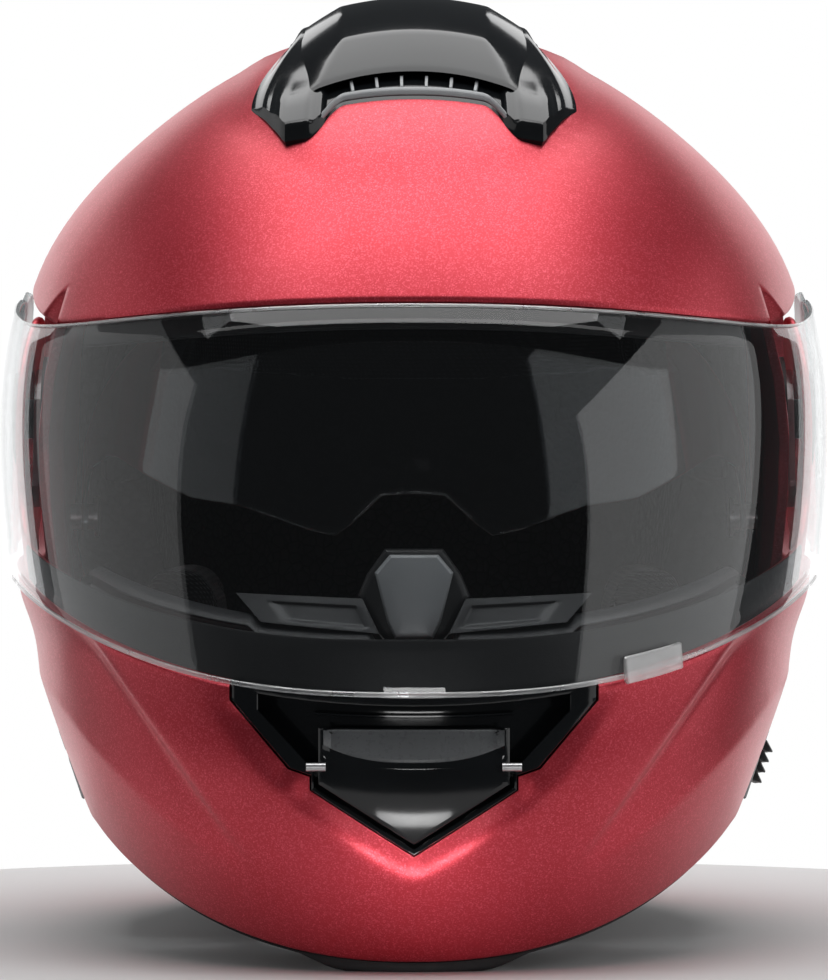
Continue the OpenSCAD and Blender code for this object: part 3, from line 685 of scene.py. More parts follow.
def shell_rows(t):
    """Elevations and offsets of the shell's outside at one bearing, from its edge to the top."""
    if t <= PORT_SIDE:
        return port_rows(t)
    if t < 60:
        return mixed_rows(port_rows(t), pocket_rows(t), (t - PORT_SIDE) / 8)
    if t < 80:
        return pocket_rows(t)
    if t < 84:
        return mixed_rows(pocket_rows(t), rear_pocket_rows(t), (t - 80) / 4)
    if t <= POCKET_END:
        return rear_pocket_rows(t)
    if t < 115.6:
        return mixed_rows(rear_pocket_rows(POCKET_END), rear_rows(t), (t - POCKET_END) / 1.8)
    return rear_rows(t)


def painted_shell():
    half = np.concatenate([
        np.arange(0, 48, 2.4), np.arange(48, 62, 1.0), np.arange(62, 80, 2.0),
        np.arange(80, 85.5, 0.6), np.arange(86, 106, 2.0), np.arange(106, 113.6, 0.55),
        [113.8, 114.2, 114.6, 115.0, 115.3, 115.6], np.arange(118, 178, 3.1), [180],
    ])
    bearings = np.concatenate([half, 360 - half[-2:0:-1]])
    turn = math.pi * (np.arange(5) + 0.5) / 5
    chains = []
    for b in bearings:
        e, off = shell_rows(min(b, 360 - b))
        off = off + np.zeros(e.shape)
        proud = blister(b, e) - relief(b, e)
        off = off + proud * (1 + off / POCKET_DEPTH)
        rim_e = e[0] - 0.75 * np.sin(turn) ** 0.8
        rim_off = off[0] - SHELL_T / 2 * (1 - np.sign(np.cos(turn)) * np.abs(np.cos(turn)) ** 0.8)
        chain_e = np.concatenate([e[::-1], rim_e, e])
        chain_off = np.concatenate([off[::-1], rim_off, off - SHELL_T])
        chains.append(skin(b, chain_e, chain_off))
    rings = np.asarray(chains).transpose(1, 0, 2)
    rings_piece("painted_shell", rings, PAINT, "shell", ("outer_shell",), sharp=50)


# Chin bar ------------------------------------------------------------------------------------
BOSS_R = 14.6
ARM_TOP = [  # bearing and elevation of the arm's upper edge
    (66, -14.4), (70, -13.4), (74, -10), (78, 0), (82, 9.5), (86, 14.8), (90, 17.1), (93, 17.5),
]


def arm_top(t):
    if t > 93:
        return hinge_circle(t, CHIN_ARM_R, 1)
    if t < 66:
        return shield_low(t) + 3.5
    return np.interp(t, *zip(*ARM_TOP))


def chin_low(t):
    seam = -46 + (t - 84) * 2 + SEAM_GAP
    if t < 84:
        return shell_low(t) + 7.0 * ramp((t - 60) / 9)
    return max(shell_low(t), min(seam, hinge_circle(t, POCKET_R - SEAM_GAP, -1)))


def vent_outline(grow=0.0):
    side = [
        (VENT_HALF_W + grow, 76 - grow / 2), (34 + grow, 57.5 - grow), (28 + grow, 55.5 - grow),
        (28 + grow, 51.5 - grow / 2),
    ]
    top = [((VENT_HALF_W + grow) * u, 77 + 4.4 * u * u + grow) for u in np.linspace(-1, 1, 13)]
    return side + [(0, 33.5 - 1.2 * grow)] + [(-x, z) for x, z in side[::-1]] + top


def chin_dent(p):
    """How far the chin bar's face stands back: the two side creases and the well of the vent."""
    x, z = np.abs(p[..., 0]), p[..., 2]
    upper = (x - 41) * 0.8125 - (z - 24.9) * 0.583
    along = np.clip((x - 41) / 62, 0, 1)
    lower = (z - 24.9) * 0.7957 - (x - 41) * 0.6066 + 14 * along * (1 - along)
    width = np.maximum(upper + lower, 0.1)
    share = np.clip(upper / width, 0, 1)
    scoop = 6.2 * ramp(width / 24) * ramp(share / 0.3) * (1 - share) ** 0.8
    scoop = scoop * (upper > 0) * (lower > 0) * (1 - ramp((z - 84) / 20))
    away = outline_distance(p[..., [0, 2]], vent_outline())
    well = 2.6 * (1 - ramp(away / 7.5)) * (1 - ramp((z - 66) / 12))
    return scoop + np.where(p[..., 1] < -90, well, 0)


def chin_cutter():
    """The prism of the vent opening, and the discs that clear the hinge bosses."""
    outline = np.asarray(vent_outline(0.5))
    count = len(outline)
    front = np.column_stack([outline[:, 0], np.full(count, -190), outline[:, 1]])
    back = front + [0, 60, 0]
    points = [front, back]
    faces = [list(range(count)), list(range(2 * count - 1, count - 1, -1))]
    faces += [[j, (j + 1) % count, count + (j + 1) % count, count + j] for j in range(count)]
    sides, start = 64, 2 * count
    a = np.linspace(0, 2 * math.pi, sides, endpoint=False)
    ring = np.column_stack([0 * a, HINGE_Y + BOSS_R * np.cos(a), HINGE_Z + BOSS_R * np.sin(a)])
    for side in (-1, 1):
        points += [ring + [side * 108, 0, 0], ring + [side * 126, 0, 0]]
        faces += [list(range(first, first + sides)) for first in (start, start + sides)]
        faces += [
            [start + j, start + (j + 1) % sides, start + sides + (j + 1) % sides, start + sides + j]
            for j in range(sides)
        ]
        start += 2 * sides
    mesh = bpy.data.meshes.new("chin_cutter")
    mesh.from_pydata((np.concatenate(points) * MM).tolist(), [], faces)
    work = bmesh.new()
    work.from_mesh(mesh)
    bmesh.ops.recalc_face_normals(work, faces=work.faces)
    work.to_mesh(mesh)
    work.free()
    cutter = bpy.data.objects.new("chin_cutter", mesh)
    bpy.context.scene.collection.objects.link(cutter)
    return cutter


def apply_modifiers(piece):
    graph = bpy.context.evaluated_depsgraph_get()
    done = bpy.data.meshes.new_from_object(piece.evaluated_get(graph))
    piece.modifiers.clear()
    old = piece.data
    piece.data = done
    bpy.data.meshes.remove(old)


def painted_chin_bar():
    half = np.concatenate([
        np.arange(0, 60, 0.8), np.arange(60, 84, 1.0), np.arange(84, 104, 1.0),
        [104, 104.5, 104.8],
    ])
    loops = []
    turn = math.pi * (np.arange(4) + 0.5) / 4
    round_off = CHIN_T / 2 * (1 - np.sign(np.cos(turn)) * np.abs(np.cos(turn)) ** 0.8)
    for b in both(half):
        t = abs(b)
        low = chin_low(t) + 0.4
        flange = max(shield_low(t) - 0.75, chin_low(t) + 1.5)
        face = np.linspace(low, flange, 44)
        step = np.linspace(0, 1, 7)[1:]
        top = max(arm_top(t), flange + 1.6)
        lip = np.linspace(flange + 0.8, top - 0.4, 10)[1:]
        e = np.concatenate([face, flange + 0.4 * step, lip])
        dent = chin_dent(skin(b, face))
        off = np.concatenate([-dent, -FLANGE_DEPTH * ramp(step), np.full(9, -FLANGE_DEPTH)])
        loop_e = np.concatenate([
            e, e[-1] + 0.4 * np.sin(turn), e[::-1], e[0] - 0.4 * np.sin(turn),
        ])
        loop_off = np.concatenate([
            off, off[-1] - round_off, off[::-1] - CHIN_T, off[0] - round_off[::-1],
        ])
        loops.append(skin(b, np.roll(loop_e, 2), np.roll(loop_off, 2)))
    piece = tube_piece("painted_chin_bar", loops, PAINT, "chin_bar", ("chin_bar_shell",), sharp=50)
    cutter = chin_cutter()
    cut = piece.modifiers.new("cut", "BOOLEAN")
    cut.operation, cut.solver, cut.object = "DIFFERENCE", "EXACT", cutter
    apply_modifiers(piece)
    bpy.data.objects.remove(cutter)
    piece.data.set_sharp_from_angle(angle=math.radians(50))


def flange_cover():
    """The unpainted black band of the chin bar that shows through the shield."""
    low = lambda b: shield_low(b) - 0.3
    high = lambda b: shield_low(b) + 3.9

    def outside(b, e):
        return -FLANGE_DEPTH + 0.55 - 0.3 * ramp((e - high(b) + 0.8) / 0.8)

    inside = -FLANGE_DEPTH - 0.5
    loops = wrapped(np.linspace(-63, 63, 127), low, high, outside, inside, rows=14, edge=0.2)
    tube_piece("chin_flange_band", loops, SATIN, "chin_bar", sharp=30)


# Chin vent -----------------------------------------------------------------------------------
def polar_piece(name, corners, centre, profile, *dressing, step=1.2, **more):
    """A solid whose cross-section, from its middle out and back, follows a front-view outline."""
    outline = resampled(corners, step)
    rings = []
    for share, off in profile:
        p = np.asarray(centre) + (outline - centre) * share
        depth = off(p[:, 0], p[:, 1]) if callable(off) else off
        rings.append(front_point(p[:, 0], p[:, 1], depth))
    return rings_piece(name, rings, *dressing, **more)


def matched(corners, others, step):
    """Two closed outlines with the same corners count, cut into the same number of points."""
    corners, others = np.asarray(corners, float), np.asarray(others, float)
    one, other = [], []
    for p, q, r, t in zip(corners, np.roll(corners, -1, 0), others, np.roll(others, -1, 0)):
        count = max(int(math.ceil(np.linalg.norm(q - p) / step)), 1)
        for k in range(count):
            one.append(p + (q - p) * k / count)
            other.append(r + (t - r) * k / count)
    return np.asarray(one), np.asarray(other)


def chin_vent():
    floor, back = -8.2, -9.0
    side = [(42.6, 73.2), (28.4, 58.2), (27.2, 57.2), (27.2, 52.2)]
    top = [(42.6 * u, 74.4 + 3.2 * u * u) for u in np.linspace(-1, 1, 13)]
    well = side + [(0, 35.2)] + [(-x, z) for x, z in side[::-1]] + top
    outer, inner = matched(vent_outline(), well, 1.2)
    centre = np.array([0, 60.0])
    rings = []
    floor_rings = [(share, floor) for share in np.linspace(0.05, 0.96, 12)]
    wall = [(1, floor + 0.2), (1, -4.5), (1, -1.1)]
    face = [
        (0.04, -0.75), (0.2, -0.6), (0.4, -0.45), (0.6, -0.3), (0.8, -0.15), (0.94, -0.15),
        (0.98, -0.35), (1.0, -0.9), (1.0, -4.0), (0.8, -4.6),
    ]
    rear = [(share, back) for share in np.linspace(1.02, 0.05, 9)]
    for start, end, profile in (
        (centre, inner, floor_rings + wall), (inner, outer, face), (centre, inner, rear)
    ):
        for share, off in profile:
            p = start + (end - start) * share
            rings.append(front_point(p[:, 0], p[:, 1], off))
    rings_piece("chin_vent_bezel", rings, GLOSS, "chin_bar", ("chin_vent_frame",), sharp=30)
    u = np.linspace(-1, 1, 49)
    section = [(-0.5, -8.4), (-0.5, -4.6), (-0.2, -4.2), (0.2, -4.2), (0.5, -4.6), (0.5, -8.4)]
    rings = [front_point(27 * u, 71.6 + d + 0.8 * u * u, off) for d, off in section]
    rings_piece("chin_vent_bar", np.asarray(rings).transpose(1, 0, 2), GLOSS, "chin_bar")


def door_scoop(x, z):
    """The door's face: full below, and falling back as an air scoop towards its top edge."""
    start = 57.6 + 1.6 * np.abs(x / 26) ** 2
    fall = np.clip((z - start) / (68.6 - start), 0, 1)
    side = 1 - ramp((np.abs(x) - 22.5) / 2.5)
    ridge = 0.55 * (1 - np.clip(np.abs(x) / 26, 0, 1)) - 0.4
    return 1.15 + ridge - 4.4 * fall * side


def chin_vent_door():
    corners = [(26, 68.6), (26, 53), (0, 36.6), (-26, 53), (-26, 68.6)]

    def set_back(amount):
        return lambda x, z: door_scoop(x, z) - amount

    front = [(share, door_scoop) for share in np.linspace(0.03, 0.955, 26)]
    corner = [(0.975, 0.12), (0.99, 0.4), (1.0, 0.7), (1.0, 1.2)]
    edge = [(share, set_back(amount)) for share, amount in corner]
    back = [(share, set_back(1.5)) for share in np.linspace(0.97, 0.03, 6)]
    polar_piece(
        "chin_vent_flap", corners, (0, 56), front + edge + back, GLOSS, "chin_vent_door",
        ("chin_vent_door",), step=0.8, sharp=28,
    )


def door_insert():
    """The door's scoop face, coloured lighter grey than the black gloss door as a painted
    reflection of the bright sky in its upper band.
    """
    u, w = np.linspace(-1, 1, 49)[:, None], np.linspace(0, 1, 15)[None]
    x = 24.6 * u + 0 * w
    z = (59.2 + 4.6 * np.abs(u) ** 2.6) * (1 - w) + 68.0 * w
    face = front_point(x, z, door_scoop(x, z) + 0.28 * ramp(w / 0.04) * ramp((1 - w) / 0.03))
    back = front_point(x, z, door_scoop(x, z) - 0.5)
    solid_between("chin_vent_scoop_face", face, back, SCOOP_REFLECTION_GREY, "chin_vent_door", sharp=30)


def vent_grille():
    """The thin plate behind the frame that stands for its grille."""
    low, high = constant(-37.0), constant(-24.6)
    loops = wrapped(np.linspace(-9.5, 9.5, 15), low, high, -9.6, -10.4, rows=8, edge=0.2)
    tube_piece("chin_vent_grille", loops, GREY, "chin_bar", ("chin_vent_mesh",))


# Face shield ---------------------------------------------------------------------------------
def shield_end(b, ahead, side):
    """An edge of the shield: ahead of the hinge's bearing, and then its round end."""
    return np.where(b < 91, ahead, hinge_circle(np.maximum(b, 91), SHIELD_END_R, side))


def shield_from(b):
    b = np.abs(b)
    return shield_end(b, shield_low(b), -1)


def shield_to(b):
    b = np.abs(b)
    return shield_end(b, spline(SHIELD_TOP, 0, b), 1)


def clear_shield():
    half = np.concatenate([
        np.arange(0, 86, 2.0), np.arange(86, 104, 1.5),
        [104, 105.5, 106.7, 107.7, 108.5, 109.1, 109.5],
    ])
    outer, inner = SHIELD_GAP + SHIELD_T, SHIELD_GAP

    def outside(b, e):
        low, high = shield_from(b), shield_to(b)
        bevel = 1.35 * np.clip((e - high + 2.1) / 1.9, 0, 1) * (1 - ramp((np.abs(b) - 58) / 16))
        lip = 0.22 * np.exp(-(((e - low - 1.1) / 0.45) ** 2)) * (np.abs(b) < 80)
        return outer - 0.22 + lip - bevel

    loops = wrapped(
        both(half), shield_from, shield_to, outside, inner, rows=60, edge=0.3, corners=6
    )
    tube_piece("clear_shield", loops, CLEAR, "shield", ("face_shield",), sharp=60)


def lifting_tab():
    low, high = (lambda b: shield_low(b) - 0.2), (lambda b: shield_low(b) + 1.9)
    top = SHIELD_GAP + SHIELD_T

    def outside(b, e):
        share = np.clip((e - shield_low(b) + 0.4) / 2.5, 0, 1)
        return top + 1.2 + 2.0 * (1 - share)

    bearings = np.linspace(20.2, 27.2, 16)
    loops = wrapped(bearings, low, high, outside, top + 0.2, rows=6, edge=0.25)
    tube_piece("shield_lifting_tab", loops, FROST, "shield", ("shield_tab",))


def shield_rims():
    """The bright polished edges along the bottom and the top of the shield."""
    top = SHIELD_GAP + SHIELD_T
    low = lambda b: shield_low(b) - 0.06
    high = lambda b: shield_low(b) + 0.34
    loops = wrapped(np.linspace(-66, 66, 133), low, high, top + 0.1, top - 0.9, rows=4, edge=0.12)
    tube_piece("shield_lower_edge", loops, FROST, "shield")
    low = lambda b: shield_to(b) - 0.3
    high = lambda b: shield_to(b) + 0.06
    outside, inside = SHIELD_GAP + 1.2, SHIELD_GAP + 0.1
    loops = wrapped(np.linspace(-62, 62, 125), low, high, outside, inside, rows=4, edge=0.12)
    tube_piece("shield_upper_edge", loops, FROST, "shield")


# Smoke sun visor -----------------------------------------------------------------------------
VISOR_Y, VISOR_Z, VISOR_R, VISOR_HALF_W, VISOR_T, VISOR_N = 10.0, 125.0, 148.5, 101.0, 2.0, 2.35
VISOR_EDGE = [  # distance from the middle and height of the lower edge, in the front view
    (0, 132.1), (9, 131.6), (17, 124), (22, 120.4), (30, 122.2), (48, 128.4), (63, 130.6),
    (76, 137), (86, 142.6), (90.5, 143.2),
]
ARM_LOW = [(0.0, -70.0), (11, -47), (30, 6.7), (55, 15.3), (74, 12.9)]
ARM_HIGH = [(0, 95), (11, 70), (30, 36), (55, 29.5)]
VISOR_TOP = 29.5


def visor_r(x):
    across = (np.abs(x) / VISOR_HALF_W) ** VISOR_N
    return VISOR_R * np.maximum(1 - across, 1e-9) ** (1 / VISOR_N)


def smoke_visor():
    t = np.concatenate([np.linspace(0, 60, 49), np.linspace(61.5, 84.6, 17)])
    t = np.concatenate([-t[:0:-1], t])
    along, depth, bend = wall_section(22, 4)
    loops = []
    for angle in t:
        x = VISOR_HALF_W * math.sin(math.radians(angle))
        r = float(visor_r(x))
        arm_low = np.interp(r, *zip(*ARM_LOW))
        arm_high = np.interp(r, *zip(*ARM_HIGH))
        height = np.interp(abs(x), *zip(*VISOR_EDGE)) - VISOR_Z
        lens_low = math.degrees(math.asin(min(height / max(r, 25), 0.9)))
        share = float(ramp((abs(x) - 88) / 5))
        low = lens_low * (1 - share) + arm_low * share
        high = VISOR_TOP * (1 - share) + arm_high * share
        edge = math.degrees(0.7 / max(r, 12))
        a = np.radians((low + edge) * (1 - along) + (high - edge) * along + edge * bend)
        xs = x * (1 - VISOR_T / VISOR_HALF_W * depth)
        rs = r * (1 - VISOR_T / VISOR_R * depth)
        loops.append(np.stack([xs, VISOR_Y - rs * np.cos(a), VISOR_Z + rs * np.sin(a)], -1))
    tube_piece("smoke_visor", loops, SMOKE, "sun_visor", ("sun_visor",), sharp=60)


# Top vent ------------------------------------------------------------------------------------
def base_half_w(v):
    return 47 - 10 * ramp(v / 0.45) - 8 * ramp((v - 0.5) / 0.5)


def base_front(u):
    side = np.abs(u)
    corner = 10 * np.maximum(side - 0.66, 0) + 92 * np.maximum(side - 0.79, 0)
    return -92 - 9.7 * ramp((side - 0.42) / 0.24) + corner


def base_rear(u):
    return 52 - 22 * u * u


def top_vent_base():
    u = np.linspace(-1, 1, 121)[:, None]
    v = np.concatenate([
        np.linspace(0, 0.11, 34), np.linspace(0.12, 0.9, 44), np.linspace(0.91, 1, 10),
    ])[None]
    x = u * base_half_w(v)
    y = base_front(u) + (base_rear(u) - base_front(u)) * v
    side = np.abs(u)
    mouth = 1 - ramp((side - 0.53) / 0.05)
    lip = 1 - (1 - ramp((v - 0.075) / 0.03)) * mouth
    swell = 1.4 + 1.8 * lip * ramp((1 - v) / 0.25)
    crown = 0.9 * np.clip((v - 0.1) / 0.3, 0, 1) * ramp((1 - v) / 0.3)
    bevel = 1 - 0.8 * ramp((side - 0.9) / 0.1)
    wing = 1.3 * ramp((side - 0.6) / 0.06) * (1 - ramp((side - 0.82) / 0.06))
    wing = wing * (1 - ramp((v - 0.05) / 0.12))
    rim = 0.3 + 0.7 * ramp(v / 0.01) * ramp((1 - v) / 0.02)
    top = plan_point(x, y, 0.4 + (swell + crown + wing) * bevel * rim)
    under = plan_point(x * 0.985, y * 0.992, 0.2)
    solid_between("top_vent_base_panel", top, under, GLOSS, "shell", ("top_vent_base",), sharp=32)


def intake():
    """The lip along the crown vent's mouth and the ribs that stand across it."""
    rings = []
    for px in 27 * np.linspace(-1, 1, 65):
        front = -91.4 - 9.7 * ramp((abs(px) / 47 - 0.42) / 0.24)
        section = [(front + 1.5, 1.5), (front + 0.6, 1.6), (front + 0.3, 2.0), (front + 0.5, 2.8)]
        section += [(front + 1.1, 3.1), (front + 1.8, 2.9), (front + 2.0, 1.7)]
        rings.append([plan_point(px, py, off) for py, off in section])
    rings_piece("intake_lip", rings, SILVER, "shell", sharp=40)
    for k in range(6):
        centre = (k - 2.5) * 7.25
        lean = 0.035 * centre
        rings = []
        for share in np.linspace(0, 1, 9):
            px = centre + lean * (share - 1) + np.array([-0.4, -0.4, 0.4, 0.4])
            py = np.full(4, -89.6 + 4.6 * share)
            rings.append(plan_point(px, py, np.array([1.6, 3.1, 3.1, 1.6])))
        rings_piece(f"intake_rib_{k + 1}", rings, SILVER, "shell")


def solid_between(name, top, under, *dressing, **more):
    """A closed solid between two grids of points of the same size."""
    rows, cols = top.shape[:2]
    points = np.concatenate([top.reshape(-1, 3), under.reshape(-1, 3)])
    size = rows * cols
    faces = grid_faces(rows, cols, False) + grid_faces(rows, cols, False, size)
    border = (
        list(range(cols))
        + [i * cols + cols - 1 for i in range(1, rows)]
        + [(rows - 1) * cols + j for j in range(cols - 2, -1, -1)]
        + [i * cols for i in range(rows - 2, 0, -1)]
    )
    for a, b in zip(border, border[1:] + border[:1]):
        faces.append([a, b, size + b, size + a])
    return mesh_piece(name, points, faces, *dressing, **more)


def slider_half_w(v):
    return 30 + 3 * ramp(v / 0.3) - 6 * ramp((v - 0.6) / 0.4)


def top_vent_slider():
    u = np.concatenate([
        np.linspace(-1, -0.6, 15), np.linspace(-0.58, 0.58, 35), np.linspace(0.6, 1, 15),
    ])[:, None]
    v = np.concatenate([
        np.linspace(0, 0.03, 4), np.linspace(0.04, 0.24, 14), np.linspace(0.25, 0.3, 5),
        np.linspace(0.32, 0.95, 30), np.linspace(0.96, 1, 6),
    ])[None]
    x = u * slider_half_w(v)
    front = -85.2 - 3 * u * u
    y = front + (6 - front) * v
    side = np.abs(u)
    ridge = 0.93 - 0.28 * np.clip(v / 0.17, 0, 1) + 0.1 * ramp((v - 0.5) / 0.5)
    flank = np.clip((side - ridge) / (1 - ridge), 0, 1)
    rise = np.clip(v / 0.165, 0, 1)
    crest = 1 - 0.62 * ramp((v - 0.62) / 0.38)
    top = 4.7 + 3.1 * rise * crest
    lift = top - (top - 4.3) * flank
    lift = lift - 0.4 * (1 - ramp(v / 0.012)) - 0.5 * (1 - ramp((1 - v) / 0.02))
    outer = plan_point(x, y, lift)
    under = plan_point(x * 0.985, y * 0.995, 3.9)
    solid_between(
        "top_vent_cover", outer, under, GLOSS, "top_vent_slider", ("top_vent_slider",), sharp=14
    )


def rear_exhaust():
    low = lambda b: 30 + 3 * ((b - 180) / 24) ** 2
    high = lambda b: 42 - 4 * ((b - 180) / 24) ** 2

    def outside(b, e):
        share = np.clip((e - low(b)) / np.maximum(high(b) - low(b), 1), 0, 1)
        grooves = 0.8 * ramp((np.abs(np.sin(share * math.pi * 4)) - 0.5) / 0.35)
        inside = ramp((share - 0.12) / 0.05) * ramp((0.88 - share) / 0.05) * (np.abs(b - 180) < 19)
        return 3.0 - 1.5 * grooves * inside

    loops = wrapped(np.linspace(156, 204, 65), low, high, outside, 0.3, rows=44, edge=0.45)
    tube_piece("rear_exhaust_vent", loops, SATIN, "shell", ("rear_vent",), sharp=30)


# Seals and trims -----------------------------------------------------------------------------
def brow_gasket():
    low = lambda b: brow_edge(b) - 2.6
    high = lambda b: brow_edge(b) + 4
    depth = lambda b, e: -6.9 - 0.5 * ramp((brow_edge(b) + 1 - e) / 2.5)
    loops = wrapped(np.linspace(-48, 48, 61), low, high, depth, -9.9, rows=8, edge=0.5)
    tube_piece("brow_seal", loops, RUBBER, "shell", ("brow_gasket",))


TRIM_SECTION = [  # share of the way across the lip, and share of its height
    (0.0, 0.35), (0.02, 0.7), (0.1, 0.95), (0.3, 1.0), (0.7, 1.0), (0.9, 0.95), (0.98, 0.7),
    (1.0, 0.35), (0.96, 0.1), (0.8, 0.0), (0.5, 0.0), (0.2, 0.0), (0.04, 0.1),
]


def edge_trim(name, bearings, low, flat, inner, body, replaced):
    """A soft lip along the lower edge that meets the resting plane over its flat stretch."""
    rings = []
    for b in bearings:
        middle = min(abs(b), abs(180 - b))  # from the nearer of front and back
        p = skin(b, low(b) - 0.15, -1.2)
        q = skin(b, low(b) - 0.15, inner)
        foot = p[2] - 0.8 - max(p[2] - 0.8, 0) * float(1 - ramp((middle - flat) / 7))
        foot = max(min(foot, q[2] - 1.2), 0)
        high = min(p[2], q[2])
        section = []
        for across, rise in TRIM_SECTION:
            point = p + (q - p) * across
            section.append([point[0], point[1], foot + (high - foot) * rise])
        rings.append(section)
    rings_piece(name, rings, RUBBER, body, replaced, sharp=50)


def trims():
    rear = lambda b: float(shell_low(min(b, 360 - b))) - (0.6 if abs(180 - b) > 69 else 0)
    around, inner = np.linspace(90, 270, 145), -SHELL_T - 2.5
    edge_trim("neck_edge_trim", around, rear, 18, inner, "shell", ("neck_trim",))
    front = lambda b: float(shell_low(abs(b)))
    ahead = np.linspace(-60, 60, 109)
    edge_trim("chin_edge_trim", ahead, front, 7, -6.2, "chin_bar", ("chin_trim",))


def side_covers():
    low = constant(-47.8)

    def high(b):
        fall = 2.5 * (np.abs(b - 101) / 12) ** 2 * (b > 101)
        return -39.5 - fall - 2.6 * ramp((84 - b) / 14)

    def outside(b, e):
        return -0.9 + 2.7 * ramp((b - 82) / 6) - 0.5 * np.exp(-(((e + 42.6) / 0.3) ** 2))

    inside = lambda b, e: -3.2 + 3.5 * ramp((b - 84) / 5)
    for side, node in ((1, "visor_lever_cover"), (-1, "side_cover_right")):
        loops = wrapped(np.linspace(69.5, 112, 81), low, high, outside, inside, rows=16, edge=0.5)
        name = "left_lever_plate" if side > 0 else "right_side_plate"
        tube_piece(name, loops * [side, 1, 1], GREY, "shell", (node,), sharp=30)


def lever():
    def outside(b, e):
        rib = 1.2 * np.cos(2 * math.pi * 4 * (e + 45.5) / 4.7)
        return 5 - rib - 0.9 * ramp((np.abs(b - 97) - 3.4) / 1.1)

    low, high = constant(-45.5), constant(-40.8)
    loops = wrapped(np.linspace(92.5, 101.5, 31), low, high, outside, 2.2, rows=61, edge=0.2)
    tube_piece("ribbed_visor_lever", loops, SATIN, "visor_lever", ("visor_lever",), sharp=40)


# Chin bar fittings ---------------------------------------------------------------------------
def rim_top(b):
    """Height of the ledge's edge over the shield's, with the notch that the deflector fills."""
    side = np.abs(b)
    return 1.4 + 2.2 * ramp((side - 3.0) / 1.6) + 0.7 * ramp((side - 15.5) / 1.5)


def inner_rim():
    """The dark ledge inside the shield's lower edge, with its ribs and thin raised lines."""
    low = lambda b: shield_low(b) - 0.2
    high = lambda b: shield_low(b) + rim_top(b)

    def outside(b, e):
        fall = shield_low(b) + rim_top(b) - e
        back = -6.4 - 1.6 * ramp((np.abs(b) - 32) / 8)
        bead = 0.9 * np.exp(-(((fall - 0.35) / 0.16) ** 2))
        return back + bead - 0.8 * (1 - ramp((fall - 1.5) / 0.3))

    loops = wrapped(np.linspace(-42, 42, 253), low, high, outside, -13.5, rows=44, edge=0.3)
    tube_piece("inner_chin_rim", loops, LEDGE, "chin_bar", ("chin_rim",), sharp=25)
    for side, word in ((1, "left"), (-1, "right")):
        for k in range(3):
            b = side * (6.6 + 3.1 * k)
            edge = float(shield_low(b) + rim_top(b))
            rings = []
            for e in np.linspace(edge - 1.5, edge - 0.4, 7):
                bearings = b + np.array([-0.13, -0.13, 0.13, 0.13])
                rings.append(skin(bearings, e, np.array([-9.0, -6.3, -6.3, -9.0])))
            rings_piece(f"ledge_rib_{word}_{k + 1}", rings, GREY, "chin_bar")
        side_ledge(side, word)


def side_ledge(side, word):
    """The sloping grey wedge behind the rim, on one side of the deflector."""
    u, w = np.linspace(0, 1, 41)[:, None], np.linspace(0, 1, 25)[None]
    x = (9.6 + 32.4 * u) * (1 - w) + (14.2 + 35.0 * u) * w
    z = (94.0 + 3.0 * u) * (1 - w) + (103.4 + 1.4 * u) * w
    inset = ramp((u - 0.06) / 0.05) * ramp((0.8 - u) / 0.1)
    inset = inset * ramp((w - 0.1) / 0.1) * ramp((0.8 - w) / 0.1)
    off = -8.6 - 4.2 * w - 1.0 * inset
    face = front_point(side * x, z, off)
    back = front_point(side * x, z, -14.2 + 0 * off)
    solid_between(f"side_ledge_{word}", face, back, LEDGE, "chin_bar", sharp=25)


def breath_guard():
    """The faceted nose deflector that stands over the middle of the ledge."""
    surround = [(6.5, 89.6), (10, 94), (15.5, 104), (13, 110), (8, 117)]
    face = [(5.2, 92.2), (7.4, 97), (10.8, 110.5), (6.7, 115.4)]

    def block(name, half, front_y, back_y, bevel, finish, replaced=()):
        outline = resampled(half + [(-x, z) for x, z in half[::-1]], 1.0)
        centre = outline.mean(0)
        rings = []
        for share, y in (
            (0.05, front_y), (0.5, front_y), (1 - 1.6 * bevel, front_y),
            (1 - bevel, front_y + 0.1), (1 - bevel * 0.3, front_y + 0.7), (1.0, front_y + 1.6),
            (1.0, back_y - 0.4), (0.97, back_y), (0.05, back_y),
        ):
            p = centre + (outline - centre) * share
            bow = 1.5 * (p[:, 0] / 14) ** 2 + 0.045 * (p[:, 1] - 104)
            rings.append(np.column_stack([p[:, 0], np.minimum(y + bow, back_y), p[:, 1]]))
        rings_piece(name, rings, finish, "chin_bar", replaced, sharp=25)

    block("breath_deflector_surround", surround, -150, -143.5, 0.1, SATIN, ("breath_deflector",))
    block("breath_deflector_face", face, -152, -149.2, 0.07, SILVER)


# Padding and liners --------------------------------------------------------------------------
def liner_low(t):
    return 19.5 if t < 52 else float(19.5 - 27.5 * ramp((t - 52) / 8) - 20 * ramp((t - 112) / 20))


def foam_bowl(name, bearings, low, top, outer, inner, finish, body, replaced):
    chains = []
    turn = math.pi * (np.arange(5) + 0.5) / 5
    for b in bearings:
        t = min(b, 360 - b)
        start = low(t)
        e = np.linspace(start + 0.8, top, 40)
        out = outer(t, e) + 0 * e
        bend = 0.5 - 0.5 * np.cos(turn)
        chain_e = np.concatenate([e[::-1], start + 0.8 - 0.8 * np.sin(turn), e])
        chain_off = np.concatenate([out[::-1], out[0] * (1 - bend) + inner * bend, inner + 0 * e])
        chains.append(skin(b, chain_e, chain_off))
    rings = np.asarray(chains).transpose(1, 0, 2)
    return rings_piece(name, rings, finish, body, replaced, sharp=60)


def liner_out(t, e):
    front = ramp((96 - t) / 12) * ramp((74 - e) / 8)
    flank = ramp((122 - t) / 8) * ramp((34 - e) / 6)
    return -7.4 - np.maximum(20 * front, 21 * flank)


